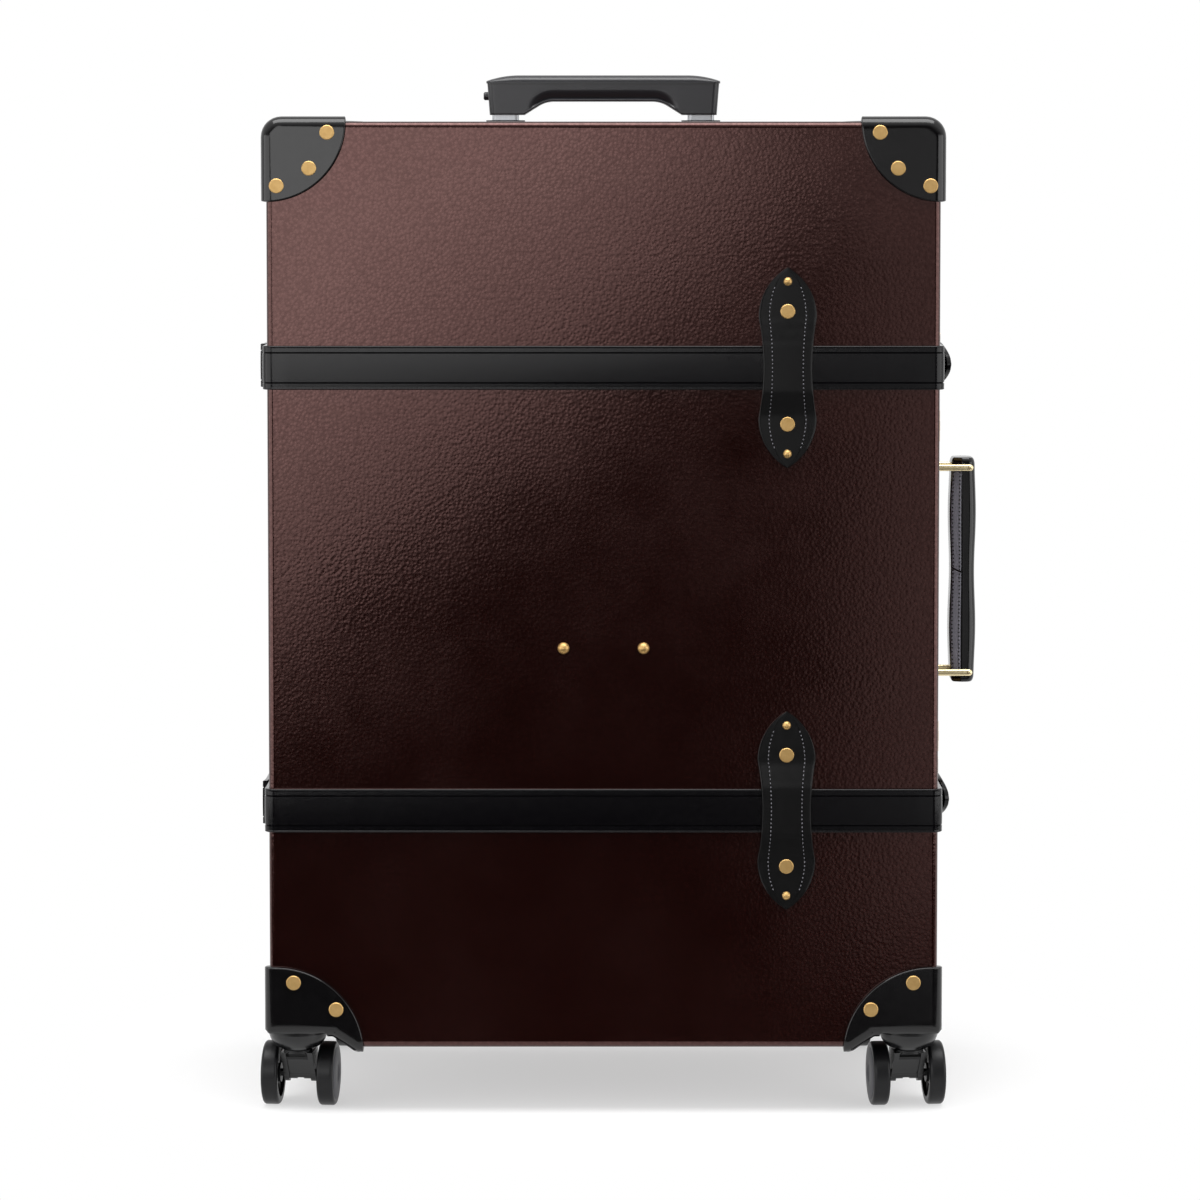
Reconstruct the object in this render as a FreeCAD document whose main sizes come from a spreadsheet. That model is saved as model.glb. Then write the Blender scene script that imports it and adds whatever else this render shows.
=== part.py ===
import FreeCAD, Part
import math
import os

import Sketcher

Vector = FreeCAD.Vector
Rotation = FreeCAD.Rotation

# A four-wheeled trolley case of vulcanised fibre with leather corners and straps.
# X runs to the right, Y away from the lid's face, Z up; the origin is on the floor under its middle.

# Driving dimensions, in millimetres and degrees
DIMENSIONS = (
    ("case_width", 520, "shell, side to side"),
    ("case_height", 720, "shell, bottom to top"),
    ("case_depth", 280, "shell, front to back"),
    ("lid_depth", 100, "lid's share of the depth"),
    ("ground_clearance", 52, "floor to the underside of the shell"),
    ("wall", 2.5, "fibre board"),
    ("corner_round", 12, "shell corners seen from the front"),
    ("edge_round", 5, "front and back edges of the shell"),
    ("channel_rise", 11.5, "height of the wheel channels"),
    ("channel_width", 50, "level part of a wheel channel"),
    ("channel_slope", 18, "sloping side of a wheel channel"),
    ("rim_thickness", 4, "wooden rim inside each half"),
    ("rim_height", 22, "rim, along the depth"),
    ("rim_lip", 8, "base rim that stands into the lid"),
    ("fit_gap", 0.3, "clearance between pieces that pass each other"),
    ("lining_thickness", 1.2, "lined board"),
    ("tube_space", 42, "room for the trolley behind the base lining"),
    ("corner_leather", 4, "moulded leather corners"),
    ("top_corner_radius", 62, "reach of the top corners"),
    ("foot_corner_radius", 69, "reach of the bottom corners"),
    ("foot_corner_shift", 4.8, "bottom corners' centre, in from the side and below the shell"),
    ("corner_return", 5.5, "bottom corners' leather past the inner edge of a wheel channel"),
    ("rivet_diameter", 11.3, "flat brass rivets"),
    ("rivet_head", 1.6, "height of a rivet head"),
    ("top_rivet_side", 8.5, "top corner's lower rivet, in from the side"),
    ("top_rivet_drop", 49.5, "top corner's lower rivet, down from the top"),
    ("top_rivet_in", 33.5, "top corner's middle rivet, in from the side"),
    ("top_rivet_down", 36, "top corner's middle rivet, down from the top"),
    ("top_rivet_reach", 47.5, "top corner's inner rivet, in from the side"),
    ("top_rivet_edge", 8.5, "top corner's inner rivet, down from the top"),
    ("foot_rivet_side", 19, "bottom corner's upper rivet, in from the side"),
    ("foot_rivet_rise", 52, "bottom corner's upper rivet, up from the shell's bottom"),
    ("foot_rivet_in", 52, "bottom corner's lower rivet, in from the side"),
    ("foot_rivet_up", 31, "bottom corner's lower rivet, up from the shell's bottom"),
    ("strap_width", 34, "leather straps"),
    ("strap_thickness", 3.5, "leather straps"),
    ("strap_middle", 358.5, "middle between the two straps, up from the shell's bottom"),
    ("strap_spacing", 344, "between the two straps"),
    ("strap_split", 0.5, "gap in a strap at the lid's edge"),
    ("ply_length", 50, "second ply on the hinge side"),
    ("ply_start", 45, "second ply, behind the lid's face"),
    ("tongue_length", 122, "free strap end beside the buckle"),
    ("tongue_start", 82, "root of the free strap end, behind the lid's edge"),
    ("tongue_flat", 73, "free strap end that lies flat"),
    ("tongue_curl", 7, "how far its tip curls out"),
    ("tongue_tip", 30, "rounded end of a free strap end"),
    ("loop_length", 155, "strap loops, tip to tip"),
    ("loop_width", 45, "strap loops at their widest"),
    ("loop_waist", 37.5, "strap loops over the strap"),
    ("loop_bulge", 39, "from a loop's middle to its widest place"),
    ("loop_thickness", 2.4, "loop leather"),
    ("loop_offset", 142, "loops, right of the middle"),
    ("loop_rivet_offset", 43.5, "loop rivets, from the strap's middle"),
    ("loop_nail_offset", 66.5, "loop nails, from the strap's middle"),
    ("loop_slack", 0.1, "between a strap and the loop over it"),
    ("loop_edge", 0.6, "between a strap's edge and the bend of the loop"),
    ("nail_diameter", 6.6, "small domed nails"),
    ("nail_height", 2.3, "small domed nails"),
    ("stud_diameter", 9.3, "domed studs on the lid"),
    ("stud_height", 3.9, "domed studs on the lid"),
    ("stud_offset", 31, "studs, either side of the middle"),
    ("stud_rise", 313, "studs, up from the shell's bottom"),
    ("buckle_length", 46, "buckle frames, across the strap"),
    ("buckle_width", 30, "buckle frames, along the strap"),
    ("buckle_bar", 4, "buckle frames, width of a bar"),
    ("buckle_thickness", 4, "buckle frames"),
    ("buckle_set", 60, "buckles' middle, behind the lid's edge"),
    ("buckle_pin", 2, "pin that carries a prong"),
    ("prong_eye", 3.6, "eye of a prong"),
    ("prong_width", 3.4, "prong, across"),
    ("prong_height", 1.6, "prong, bar"),
    ("prong_slope", 8, "prong, from its eye to the level bar"),
    ("pin_gap", 0.06, "running clearance round pins and axles"),
    ("hinge_length", 54, "lid hinges"),
    ("hinge_spacing", 110, "between neighbouring hinges"),
    ("hinge_leaf_width", 20, "hinge leaves"),
    ("hinge_leaf", 1.2, "hinge leaves"),
    ("hinge_knuckle", 6, "hinge knuckles"),
    ("hinge_pin", 3, "hinge pins"),
    ("lock_spacing", 246, "between the two locks"),
    ("lock_height", 30, "lock bodies"),
    ("lock_length", 36, "lock bodies, along the depth"),
    ("lock_thickness", 3.8, "lock bodies"),
    ("lock_set", 2, "lock bodies, behind the lid's edge"),
    ("lock_button", 8, "lock buttons"),
    ("lock_button_set", 27, "lock buttons, behind the lid's edge"),
    ("lock_button_rise", 1.8, "lock buttons above the lock"),
    ("lock_button_depth", 1.4, "lock buttons inside the lock at rest"),
    ("hasp_width", 24, "hasps"),
    ("hasp_thickness", 1.4, "hasps"),
    ("hasp_length", 48, "hasps, from pivot to tip"),
    ("hasp_pivot", 30, "hasp pivots, in front of the lid's edge"),
    ("hasp_knuckle", 4.8, "hasp knuckles"),
    ("hasp_pin", 2, "hasp pins"),
    ("handle_middle", 362.5, "side handle's middle, up from the shell's bottom"),
    ("handle_length", 181, "side handle"),
    ("handle_thickness", 21, "side handle, out from the wall"),
    ("handle_width", 30, "side handle, along the depth"),
    ("handle_inner", 16, "side handle's face toward the case"),
    ("handle_facet", 9, "side handle's slanting sides next to that face"),
    ("handle_outer", 22, "side handle's face away from the case"),
    ("handle_bevel", 4, "side handle's slanting sides next to that face"),
    ("handle_round", 2.5, "edges of the side handle"),
    ("handle_offset", 29, "side handle's middle, out from the wall"),
    ("loop_pins", 165, "between the two pins of the side handle"),
    ("loop_pivot", 4, "wall pivots of the handle loops, out from the wall"),
    ("loop_arm", 30, "handle loops, pivot to pin"),
    ("loop_wire", 4, "handle loops, wire"),
    ("loop_bar", 5.5, "handle loops, height of an arm"),
    ("loop_cheek", 3, "handle loops, thickness of an arm"),
    ("lug_width", 20, "handle lugs, along the depth"),
    ("lug_height", 11, "handle lugs"),
    ("lug_plate", 2, "plates under the handle lugs"),
    ("lug_plate_length", 26, "plates under the handle lugs, along the depth"),
    ("lug_plate_height", 24, "plates under the handle lugs"),
    ("trolley_spacing", 161.4, "between the trolley tubes"),
    ("trolley_back", 28, "tubes' middle, in front of the case's back"),
    ("tube_width", 22, "inner tubes, side to side"),
    ("tube_depth", 12, "inner tubes, front to back"),
    ("tube_wall", 1.2, "trolley tubes"),
    ("tube_round", 3, "edges of the inner tubes"),
    ("tube_length", 430, "outer tubes"),
    ("tube_step", 8, "each tube's foot above the next one's"),
    ("bracket_height", 12, "bracket under the outer tubes"),
    ("bezel_width", 40, "bezels on the case's top, side to side"),
    ("bezel_depth", 30, "bezels, front to back"),
    ("bezel_plate", 2.5, "bezel plates"),
    ("bezel_collar", 2, "bezel collars above the plate"),
    ("bezel_rim", 3.5, "bezel collars, wall"),
    ("grip_width", 193, "trolley grip, side to side"),
    ("grip_depth", 27, "trolley grip, front to back"),
    ("grip_gap", 9, "case's top to the foot of the grip"),
    ("grip_under", 20, "case's top to the underside of the bar"),
    ("grip_parting", 35, "case's top to the cap of the grip"),
    ("grip_cap", 6.5, "cap of the grip"),
    ("cap_end", 1.8, "cap of the grip at its ends"),
    ("cap_slope", 27, "sloping end of the cap, side to side"),
    ("cap_round", 1.2, "upper edges of the cap"),
    ("grip_lip", 0.8, "how far the cap stands over the grip"),
    ("grip_draft", 2, "how far the grip's ends draw in toward its feet"),
    ("grip_leg", 30, "legs of the grip at their foot"),
    ("grip_slant", 18.5, "slanting inner side of a leg"),
    ("grip_bend", 25, "bend between a leg and the underside of the bar"),
    ("grip_round", 5, "upright edges of the grip"),
    ("grip_socket", 8, "tubes inside the grip's legs"),
    ("button_diameter", 6.8, "release button"),
    ("button_rise", 2.4, "release button above the grip's end"),
    ("button_inside", 5.5, "release button inside the grip"),
    ("button_travel", 3, "travel of the release button"),
    ("button_height", 24.5, "release button's middle above the case's top"),
    ("button_bevel", 0.9, "bevelled rim of the release button"),
    ("caster_side", 20.5, "swivel axes, in from the sides"),
    ("caster_face", 24, "swivel axes, in from the front and back"),
    ("caster_trail", 13, "axles, behind the swivel axes"),
    ("caster_toe", 5, "casters' turn at rest"),
    ("wheel_diameter", 50, "wheels"),
    ("wheel_width", 13, "wheels"),
    ("wheel_gap", 31, "between the two wheels of a caster"),
    ("wheel_round", 2.5, "shoulders of the tread"),
    ("wheel_rim", 6, "tread and rim, from the tread inwards"),
    ("wheel_hub", 15, "wheel hubs"),
    ("wheel_dish", 2.5, "how far the spokes lie inside the rim"),
    ("spoke_depth", 5, "depth of the gaps between the spokes"),
    ("spoke_margin", 1.4, "gaps between the spokes, from hub and rim"),
    ("spoke_opening", 40, "angle of a gap between two spokes"),
    ("spoke_count", 6, "spokes of a wheel"),
    ("axle_diameter", 6, "axles"),
    ("axle_seat", 10, "axles inside each wheel"),
    ("cup_top", 46, "caster cups at the case"),
    ("cup_lip", 3, "upright upper part of the caster cups"),
    ("cup_bend", 16, "round of the caster cups below it"),
    ("cup_foot", 23, "caster cups at their foot"),
    ("cup_height", 16.5, "caster cups"),
    ("stem_diameter", 12, "swivel stems"),
    ("stem_length", 8, "swivel stems inside the cups"),
    ("fork_disc", 23, "fork heads"),
    ("fork_head", 2.5, "fork heads, thickness"),
    ("fork_width", 25, "fork legs, side to side"),
    ("fork_rib", 4, "ribs at the sides of a fork leg"),
    ("fork_recess", 1.8, "how far a leg's web lies behind its ribs"),
    ("fork_bar", 2, "cross bar between the ribs"),
    ("fork_slot", 9, "depth of the slot above the cross bar"),
    ("fork_foot", 6.5, "fork legs round the axle"),
    ("fork_shoulder", 5, "sloping shoulders below the fork heads"),
    ("fork_notch", 5.5, "notch between the two nubs of a fork leg"),
)

doc = FreeCAD.newDocument("suitcase")
sheet = doc.addObject("Spreadsheet::Sheet", "dims")
for row, (alias, number, note) in enumerate(DIMENSIONS, start=1):
    sheet.set(f"A{row}", note)
    sheet.set(f"B{row}", str(number))
    sheet.setAlias(f"B{row}", alias)
doc.recompute()

nodes = []


def value(expression):
    """Number that an expression of the sheet gives."""
    return float(sheet.evalExpression(expression))


def node(obj, label):
    """Keep an object as the sub-part of that name."""
    obj.Label = label
    nodes.append(obj)
    return obj


def place(obj, x="0", y="0", z="0", axis=None, turn="0"):
    """Tie an object's place, and its turn about an axis, to expressions."""
    if axis is not None:
        obj.Placement = FreeCAD.Placement(Vector(), Rotation(axis, value(turn)))
        if turn != "0":
            obj.setExpression(".Placement.Rotation.Angle", turn)
    obj.setExpression(".Placement.Base.x", x)
    obj.setExpression(".Placement.Base.y", y)
    obj.setExpression(".Placement.Base.z", z)
    return obj


def bound(kind, name, **sizes):
    """Object of a kind whose properties follow expressions."""
    obj = doc.addObject(kind, name)
    for prop, expression in sizes.items():
        obj.setExpression(prop, expression)
    return obj


def box(name, x, y, z):
    """Box between two expressions on each axis."""
    sides = zip(("Length", "Width", "Height"), (x, y, z))
    obj = bound("Part::Box", name, **{prop: f"({high}) - ({low})" for prop, (low, high) in sides})
    return place(obj, x[0], y[0], z[0])


def common(name, first, second):
    """What two objects share."""
    obj = doc.addObject("Part::Common", name)
    obj.Base = first
    obj.Tool = second
    doc.recompute()
    return obj


def body_of(name):
    """Empty body."""
    return doc.addObject("PartDesign::Body", name)


def draw(sketch, corners):
    """Closed outline through corners (x, y) or (x, y, bend).

    A bend is the radius of the arc that leaves its corner, above zero where the outline turns left.
    """
    spots = [Vector(value(corner[0]), value(corner[1]), 0) for corner in corners]
    sides = []
    for index, corner in enumerate(corners):
        start = spots[index]
        stop = spots[(index + 1) % len(spots)]
        if len(corner) == 2:
            sides.append((sketch.addGeometry(Part.LineSegment(start, stop)), 1, 2))
            continue
        bend = value(corner[2])
        chord = stop - start
        rise = math.sqrt(bend ** 2 - chord.Length ** 2 / 4)
        left = Vector(-chord.y, chord.x, 0).normalize()
        centre = (start + stop) / 2 + left * math.copysign(rise, bend)
        first, last = (start, stop) if bend > 0 else (stop, start)
        low = math.atan2(first.y - centre.y, first.x - centre.x)
        high = math.atan2(last.y - centre.y, last.x - centre.x)
        circle = Part.Circle(centre, Vector(0, 0, 1), abs(bend))
        arc = sketch.addGeometry(Part.ArcOfCircle(circle, low, high if high > low else high + 2 * math.pi))
        sides.append((arc, 1, 2) if bend > 0 else (arc, 2, 1))
    for index, corner in enumerate(corners):
        side, first, last = sides[index]
        before = sides[index - 1]
        sketch.addConstraint(Sketcher.Constraint("Coincident", side, first, before[0], before[2]))
        pin(sketch, "DistanceX", corner[0], side, first)
        pin(sketch, "DistanceY", corner[1], side, first)
        if len(corner) == 3:
            bend = f"abs({corner[2]})"
            number = sketch.addConstraint(Sketcher.Constraint("Radius", side, value(bend)))
            sketch.setExpression(f"Constraints[{number}]", bend)


def pin(sketch, direction, expression, geometry, point):
    """Tie one coordinate of a sketch point to an expression."""
    number = sketch.addConstraint(
        Sketcher.Constraint(direction, -1, 1, geometry, point, value(expression)))
    sketch.setExpression(f"Constraints[{number}]", expression)


def draw_circle(sketch, x, y, radius):
    """Circle about a point of the sketch."""
    geometry = sketch.addGeometry(
        Part.Circle(Vector(value(x), value(y), 0), Vector(0, 0, 1), value(radius)))
    pin(sketch, "DistanceX", x, geometry, 3)
    pin(sketch, "DistanceY", y, geometry, 3)
    number = sketch.addConstraint(Sketcher.Constraint("Radius", geometry, value(radius)))
    sketch.setExpression(f"Constraints[{number}]", radius)


def sketch_on(body, role, *outlines, offset="0"):
    """Sketch of closed outlines on one of the body's own planes."""
    sketch = body.newObject("Sketcher::SketchObject", body.Name + "_sketch")
    support = [plane for plane in body.Origin.OriginFeatures if plane.Role == role]
    sketch.AttachmentSupport = [(support[0], "")]
    sketch.MapMode = "FlatFace"
    sketch.setExpression("AttachmentOffset.Base.z", offset)
    for outline in outlines:
        if isinstance(outline, tuple):
            draw_circle(sketch, *outline)
        else:
            draw(sketch, outline)
    return sketch


def feature_of(body, kind, sketch, length, back=False):
    """Pad or pocket of a sketch."""
    feature = body.newObject(kind, body.Name + "_feature")
    feature.Profile = sketch
    feature.setExpression("Length", length)
    feature.Reversed = back
    doc.recompute()
    return feature


def pad(body, sketch, length, back=False):
    """Pad of a sketch along its normal, or against it."""
    return feature_of(body, "PartDesign::Pad", sketch, length, back)


def pocket(body, sketch, length, back=False):
    """Pocket of a sketch, which has to take something away."""
    before = body.Tip.Shape.Volume
    feature = feature_of(body, "PartDesign::Pocket", sketch, length, back)
    if feature.Shape.Volume > before - 1e-6:
        raise RuntimeError(f"{body.Name}: a pocket cuts nothing")
    return feature


def revolve(body, sketch, axis):
    """Full turn of a sketch about its H_Axis or V_Axis."""
    feature = body.newObject("PartDesign::Revolution", body.Name + "_turned")
    feature.Profile = sketch
    feature.ReferenceAxis = (sketch, [axis])
    feature.Angle = 360
    doc.recompute()
    return feature


def round_edges(body, radius, wanted):
    """Round the edges of a body's last feature that a test picks."""
    base = body.Tip
    names = [f"Edge{index}" for index, edge in enumerate(base.Shape.Edges, start=1) if wanted(edge)]
    feature = body.newObject("PartDesign::Fillet", body.Name + "_round")
    feature.Base = (base, names)
    feature.setExpression("Radius", radius)
    doc.recompute()
    return feature


def along(edge, direction, least=0.999):
    """Whether an edge is a straight one along a direction, its cosine to it being at least so much."""
    if not isinstance(edge.Curve, Part.Line):
        return False
    return abs(edge.tangentAt(edge.FirstParameter).dot(direction)) > least


def level(edge, axis, place_):
    """Whether all of an edge lies at one place on an axis (0, 1 or 2)."""
    return all(abs(point[axis] - place_) < 1e-4 for point in edge.discretize(5))


# Shell: each half is a pressed tray of fibre board
HALF = "dims.case_width / 2"
BOTTOM = "dims.ground_clearance"
TOP = "(dims.ground_clearance + dims.case_height)"
FRONT = "(-dims.case_depth / 2)"
BACK = "(dims.case_depth / 2)"
SPLIT = "(dims.lid_depth - dims.case_depth / 2)"
CHANNEL = "(dims.ground_clearance + dims.channel_rise)"


def case_outline(inset):
    """Front outline of the case, moved in by an inset all round."""
    lean = "tan(atan(dims.channel_rise / dims.channel_slope) / 2)"
    side = f"{HALF} - ({inset})"
    top = f"{TOP} - ({inset})"
    channel = f"{CHANNEL} + ({inset})"
    bottom = f"{BOTTOM} + ({inset})"
    inner = f"{HALF} - dims.channel_width - ({inset}) * {lean}"
    foot = f"{inner} - dims.channel_slope"
    right = [(foot, bottom), (inner, channel), (side, channel), (side, top)]
    left = [(f"-({x})", z) for x, z in reversed(right)]
    return right + left


def tray(name, inset, thickness, near, far):
    """Tray of the case's outline, open at near, with its floor at far.

    Near and far are places along the depth. Returns the filled block and the hollow tray.
    """
    body = body_of(name)
    backwards = value(far) > value(near)
    depth = f"({far}) - ({near})" if backwards else f"({near}) - ({far})"
    pad(body, sketch_on(body, "XZ_Plane", case_outline(inset), offset=f"-({near})"), depth, backwards)
    reach = value(f"{HALF} - ({inset})")
    across = Vector(0, 1, 0)
    round_edges(body, f"dims.corner_round - ({inset})",
                lambda edge: along(edge, across) and abs(abs(edge.CenterOfMass.x) - reach) < 1e-4)
    block = round_edges(body, f"dims.edge_round - ({inset})", lambda edge: level(edge, 1, value(far)))
    mouth = [f"Face{index}" for index, face in enumerate(block.Shape.Faces, start=1)
             if abs(face.CenterOfMass.y - value(near)) < 1e-4]
    hollow = body.newObject("PartDesign::Thickness", name + "_hollow")
    hollow.Base = (block, mouth)
    hollow.setExpression("Value", thickness)
    hollow.Reversed = True
    doc.recompute()
    return body, block


lid_shell, lid_block = tray("lid_shell", "0", "dims.wall", SPLIT, FRONT)
base_shell, base_block = tray("base_shell", "0", "dims.wall", SPLIT, BACK)
node(lid_shell, "lid_shell")
node(base_shell, "base_shell")

# Rims: a wooden band inside each half; the base's band stands into the lid
BAND = "(dims.wall + dims.fit_gap)"
LIP = f"({SPLIT} - dims.rim_lip)"


def rim(name, near, far):
    """Band inside the shell between two places along the depth."""
    body = body_of(name)
    inner = f"{BAND} + dims.rim_thickness"
    sketch = sketch_on(body, "XZ_Plane", case_outline(BAND), case_outline(inner), offset=f"-({near})")
    pad(body, sketch, f"({far}) - ({near})", True)
    for inset in (BAND, inner):
        reach = value(f"{HALF} - ({inset})")
        round_edges(body, f"dims.corner_round - ({inset})",
                    lambda edge: along(edge, Vector(0, 1, 0))
                    and abs(abs(edge.CenterOfMass.x) - reach) < 1e-4)
    return node(body, name)


rim("base_rim", LIP, f"{LIP} + dims.rim_height")
rim("lid_rim", f"{LIP} - dims.fit_gap - dims.rim_height", f"{LIP} - dims.fit_gap")

# Linings: thin covered boards, the base's one in front of the trolley tubes
lid_lining = tray("lid_lining", BAND, "dims.lining_thickness",
                  f"{LIP} - 2 * dims.fit_gap - dims.rim_height", f"{FRONT} + {BAND}")[0]
node(lid_lining, "lid_lining")
base_lining = tray("base_lining", BAND, "dims.lining_thickness",
                   f"{LIP} + dims.rim_height + dims.fit_gap", f"{BACK} - dims.tube_space")[0]
node(base_lining, "base_lining")


def shaped(label, shape):
    """Sub-part whose shape is worked out from the sizes and other shapes."""
    obj = doc.addObject("Part::Feature", label)
    obj.Shape = shape
    return node(obj, label)


def at(x, y, z, turn=None):
    """Placement at three expressions."""
    return FreeCAD.Placement(Vector(value(x), value(y), value(z)), turn or Rotation())


def copies(label, source, spots):
    """Sub-part of one or more copies of an object, each at its own placement."""
    doc.recompute()
    solids = []
    for spot in spots:
        solid = source.Shape.Solids[0].copy()
        solid.Placement = spot.multiply(solid.Placement)
        solids.append(solid)
    return shaped(label, solids[0] if len(solids) == 1 else Part.makeCompound(solids))


def block_between(x, y, z):
    """Plain block between two expressions on each axis, for cutting."""
    low = Vector(value(x[0]), value(y[0]), value(z[0]))
    high = Vector(value(x[1]), value(y[1]), value(z[1]))
    size = high - low
    return Part.makeBox(size.x, size.y, size.z, low)


def skin(block, thickness):
    """Layer of leather laid over a half of the shell."""
    return block.Shape.makeOffsetShape(value(thickness), 0.01).cut(block.Shape)


def wheel_channels():
    """Space of the wheel channels that the leather of the bottom corners leaves free."""
    inner = value(f"{HALF} - dims.channel_width")
    depth = value("dims.case_depth")
    roof = value(CHANNEL)
    edge = inner + value("dims.corner_return")
    solids = []
    for side in (-1, 1):
        outline = [(edge, roof), (inner, roof - 2 * value("dims.corner_leather")), (inner, 0),
                   (2 * value(HALF), 0), (2 * value(HALF), roof), (edge, roof)]
        face = Part.Face(Part.makePolygon([Vector(side * x, -depth, z) for x, z in outline]))
        solids.append(face.extrude(Vector(0, 2 * depth, 0)))
    return solids


# Leather corners: moulded caps, cut straight along the wheel channels and turned under beside them
def corners(label, block, face):
    """Four corner caps on one half, centred on the corners of its face."""
    layer = skin(block, "dims.corner_leather")
    shift = value("dims.foot_corner_shift")
    outward = math.copysign(1, value(face))
    solids = []
    for side in (-1, 1):
        top = Vector(side * value(HALF), value(face), value(TOP))
        ball = Part.makeSphere(value("dims.top_corner_radius"), top, Vector(side, outward, 1))
        solids += layer.common(ball).Solids
        foot = Vector(side * (value(HALF) - shift), value(face), value(BOTTOM) - shift)
        ball = Part.makeSphere(value("dims.foot_corner_radius"), foot, Vector(side, outward, -1))
        solids += layer.common(ball).cut(wheel_channels()).Solids
    return shaped(label, Part.makeCompound(solids))


corners("lid_corners", lid_block, FRONT)
corners("base_corners", base_block, BACK)

# Rivets, nails and studs: turned brass heads; a head's own axis points out of the case
OUT_FRONT = Rotation(Vector(1, 0, 0), 90)
OUT_BACK = Rotation(Vector(1, 0, 0), -90)


def disc_head(name, diameter, height):
    """Flat rivet head with a bevelled rim."""
    body = body_of(name)
    radius = f"({diameter} / 2)"
    bevel = f"({height} / 3)"
    outline = [("0", "0"), (radius, "0"), (radius, f"{height} - {bevel}"),
               (f"{radius} - {bevel}", height), ("0", height)]
    revolve(body, sketch_on(body, "XZ_Plane", outline), "V_Axis")
    return body


def domed_head(name, diameter, height):
    """Domed nail head, a cap of a ball."""
    body = body_of(name)
    radius = f"({diameter} / 2)"
    ball = f"(({radius})^2 + ({height})^2) / (2 * {height})"
    revolve(body, sketch_on(body, "XZ_Plane", [("0", "0"), (radius, "0", ball), ("0", height)]), "V_Axis")
    return body


rivet = disc_head("rivet", "dims.rivet_diameter", "dims.rivet_head")
nail = domed_head("nail", "dims.nail_diameter", "dims.nail_height")
stud = domed_head("stud", "dims.stud_diameter", "dims.stud_height")


def corner_spots(y, turn):
    """Places of the ten corner rivets on one face."""
    spots = []
    for side in ("-1", "1"):
        for across, down in (("side", "drop"), ("in", "down"), ("reach", "edge")):
            spots.append(at(f"{side} * ({HALF} - dims.top_rivet_{across})", y,
                            f"{TOP} - dims.top_rivet_{down}", turn))
        for across, up in (("side", "rise"), ("in", "up")):
            spots.append(at(f"{side} * ({HALF} - dims.foot_rivet_{across})", y,
                            f"{BOTTOM} + dims.foot_rivet_{up}", turn))
    return spots


copies("lid_corner_rivets", rivet, corner_spots(f"{FRONT} - dims.corner_leather", OUT_FRONT))
copies("base_corner_rivets", rivet, corner_spots(f"{BACK} + dims.corner_leather", OUT_BACK))
copies("lid_studs", stud, [at(f"{side} * dims.stud_offset", FRONT, f"{BOTTOM} + dims.stud_rise", OUT_FRONT)
                           for side in ("-1", "1")])

# Straps: two leather belts round the case, parted at the lid's edge
STRAP_MIDDLE = f"({BOTTOM} + dims.strap_middle)"
UPPER_STRAP = f"({STRAP_MIDDLE} + dims.strap_spacing / 2)"
LOWER_STRAP = f"({STRAP_MIDDLE} - dims.strap_spacing / 2)"
STRAP_FACE = f"({HALF} + dims.strap_thickness)"
EVERYWHERE = "dims.case_width + dims.case_depth"


def straps(label, block, y):
    """Both straps on one half, between two places along the depth."""
    layer = skin(block, "dims.strap_thickness")
    solids = []
    for middle in (UPPER_STRAP, LOWER_STRAP):
        band = (f"{middle} - dims.strap_width / 2", f"{middle} + dims.strap_width / 2")
        solids += layer.common(block_between((f"-({EVERYWHERE})", EVERYWHERE), y, band)).Solids
    return shaped(label, Part.makeCompound(solids))


straps("lid_straps", lid_block, (f"-({EVERYWHERE})", f"{SPLIT} - dims.strap_split / 2"))
straps("base_straps", base_block, (f"{SPLIT} + dims.strap_split / 2", EVERYWHERE))

ply = box("ply", (f"-({STRAP_FACE} + dims.strap_thickness)", f"-({STRAP_FACE})"),
          (f"{FRONT} + dims.ply_start", f"{FRONT} + dims.ply_start + dims.ply_length"),
          ("-dims.strap_width / 2", "dims.strap_width / 2"))
copies("strap_plies", ply, [at("0", "0", middle) for middle in (UPPER_STRAP, LOWER_STRAP)])


# Strap loops: waisted leather tabs with pointed ends, bent over the strap
def strap_loop():
    """One loop about the strap's middle, lying on a face that looks along -Y."""
    half = "dims.loop_width / 2"
    tip = "dims.loop_length / 2"
    point = f"(({half})^2 + ({tip} - dims.loop_bulge)^2) / dims.loop_width"
    dip = "((dims.loop_width - dims.loop_waist) / 2)"
    waist = f"-(dims.loop_bulge^2 + {dip}^2) / (2 * {dip})"
    plan = body_of("loop_plan")
    bulge = "dims.loop_bulge"
    outline = [("0", f"-{tip}", point), (half, f"-{bulge}", waist), (half, bulge, point),
               ("0", tip, point), (f"-{half}", bulge, waist), (f"-{half}", f"-{bulge}", point)]
    hump = "(dims.strap_thickness + dims.loop_slack)"
    pad(plan, sketch_on(plan, "XZ_Plane", outline), f"{hump} + 2 * dims.loop_thickness")
    step = "(dims.strap_width / 2 + dims.loop_edge)"
    ramp = f"({step} + 2 * {hump})"
    side = body_of("loop_side")
    inner = [("0", f"-{tip}"), ("0", f"-{ramp}"), (f"-{hump}", f"-{step}"),
             (f"-{hump}", step), ("0", ramp), ("0", tip)]
    outer = [(f"{y} - dims.loop_thickness", z) for y, z in reversed(inner)]
    pad(side, sketch_on(side, "YZ_Plane", inner + outer, offset=f"-{half}"), "dims.loop_width")
    return common("loop", plan, side)


loop = strap_loop()
HALF_TURN = Rotation(Vector(0, 0, 1), 180)
STRAP_ROWS = (UPPER_STRAP, LOWER_STRAP)
copies("lid_strap_loops", loop, [at("dims.loop_offset", FRONT, row) for row in STRAP_ROWS])
copies("base_strap_loops", loop, [at("dims.loop_offset", BACK, row, HALF_TURN) for row in STRAP_ROWS])


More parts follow.
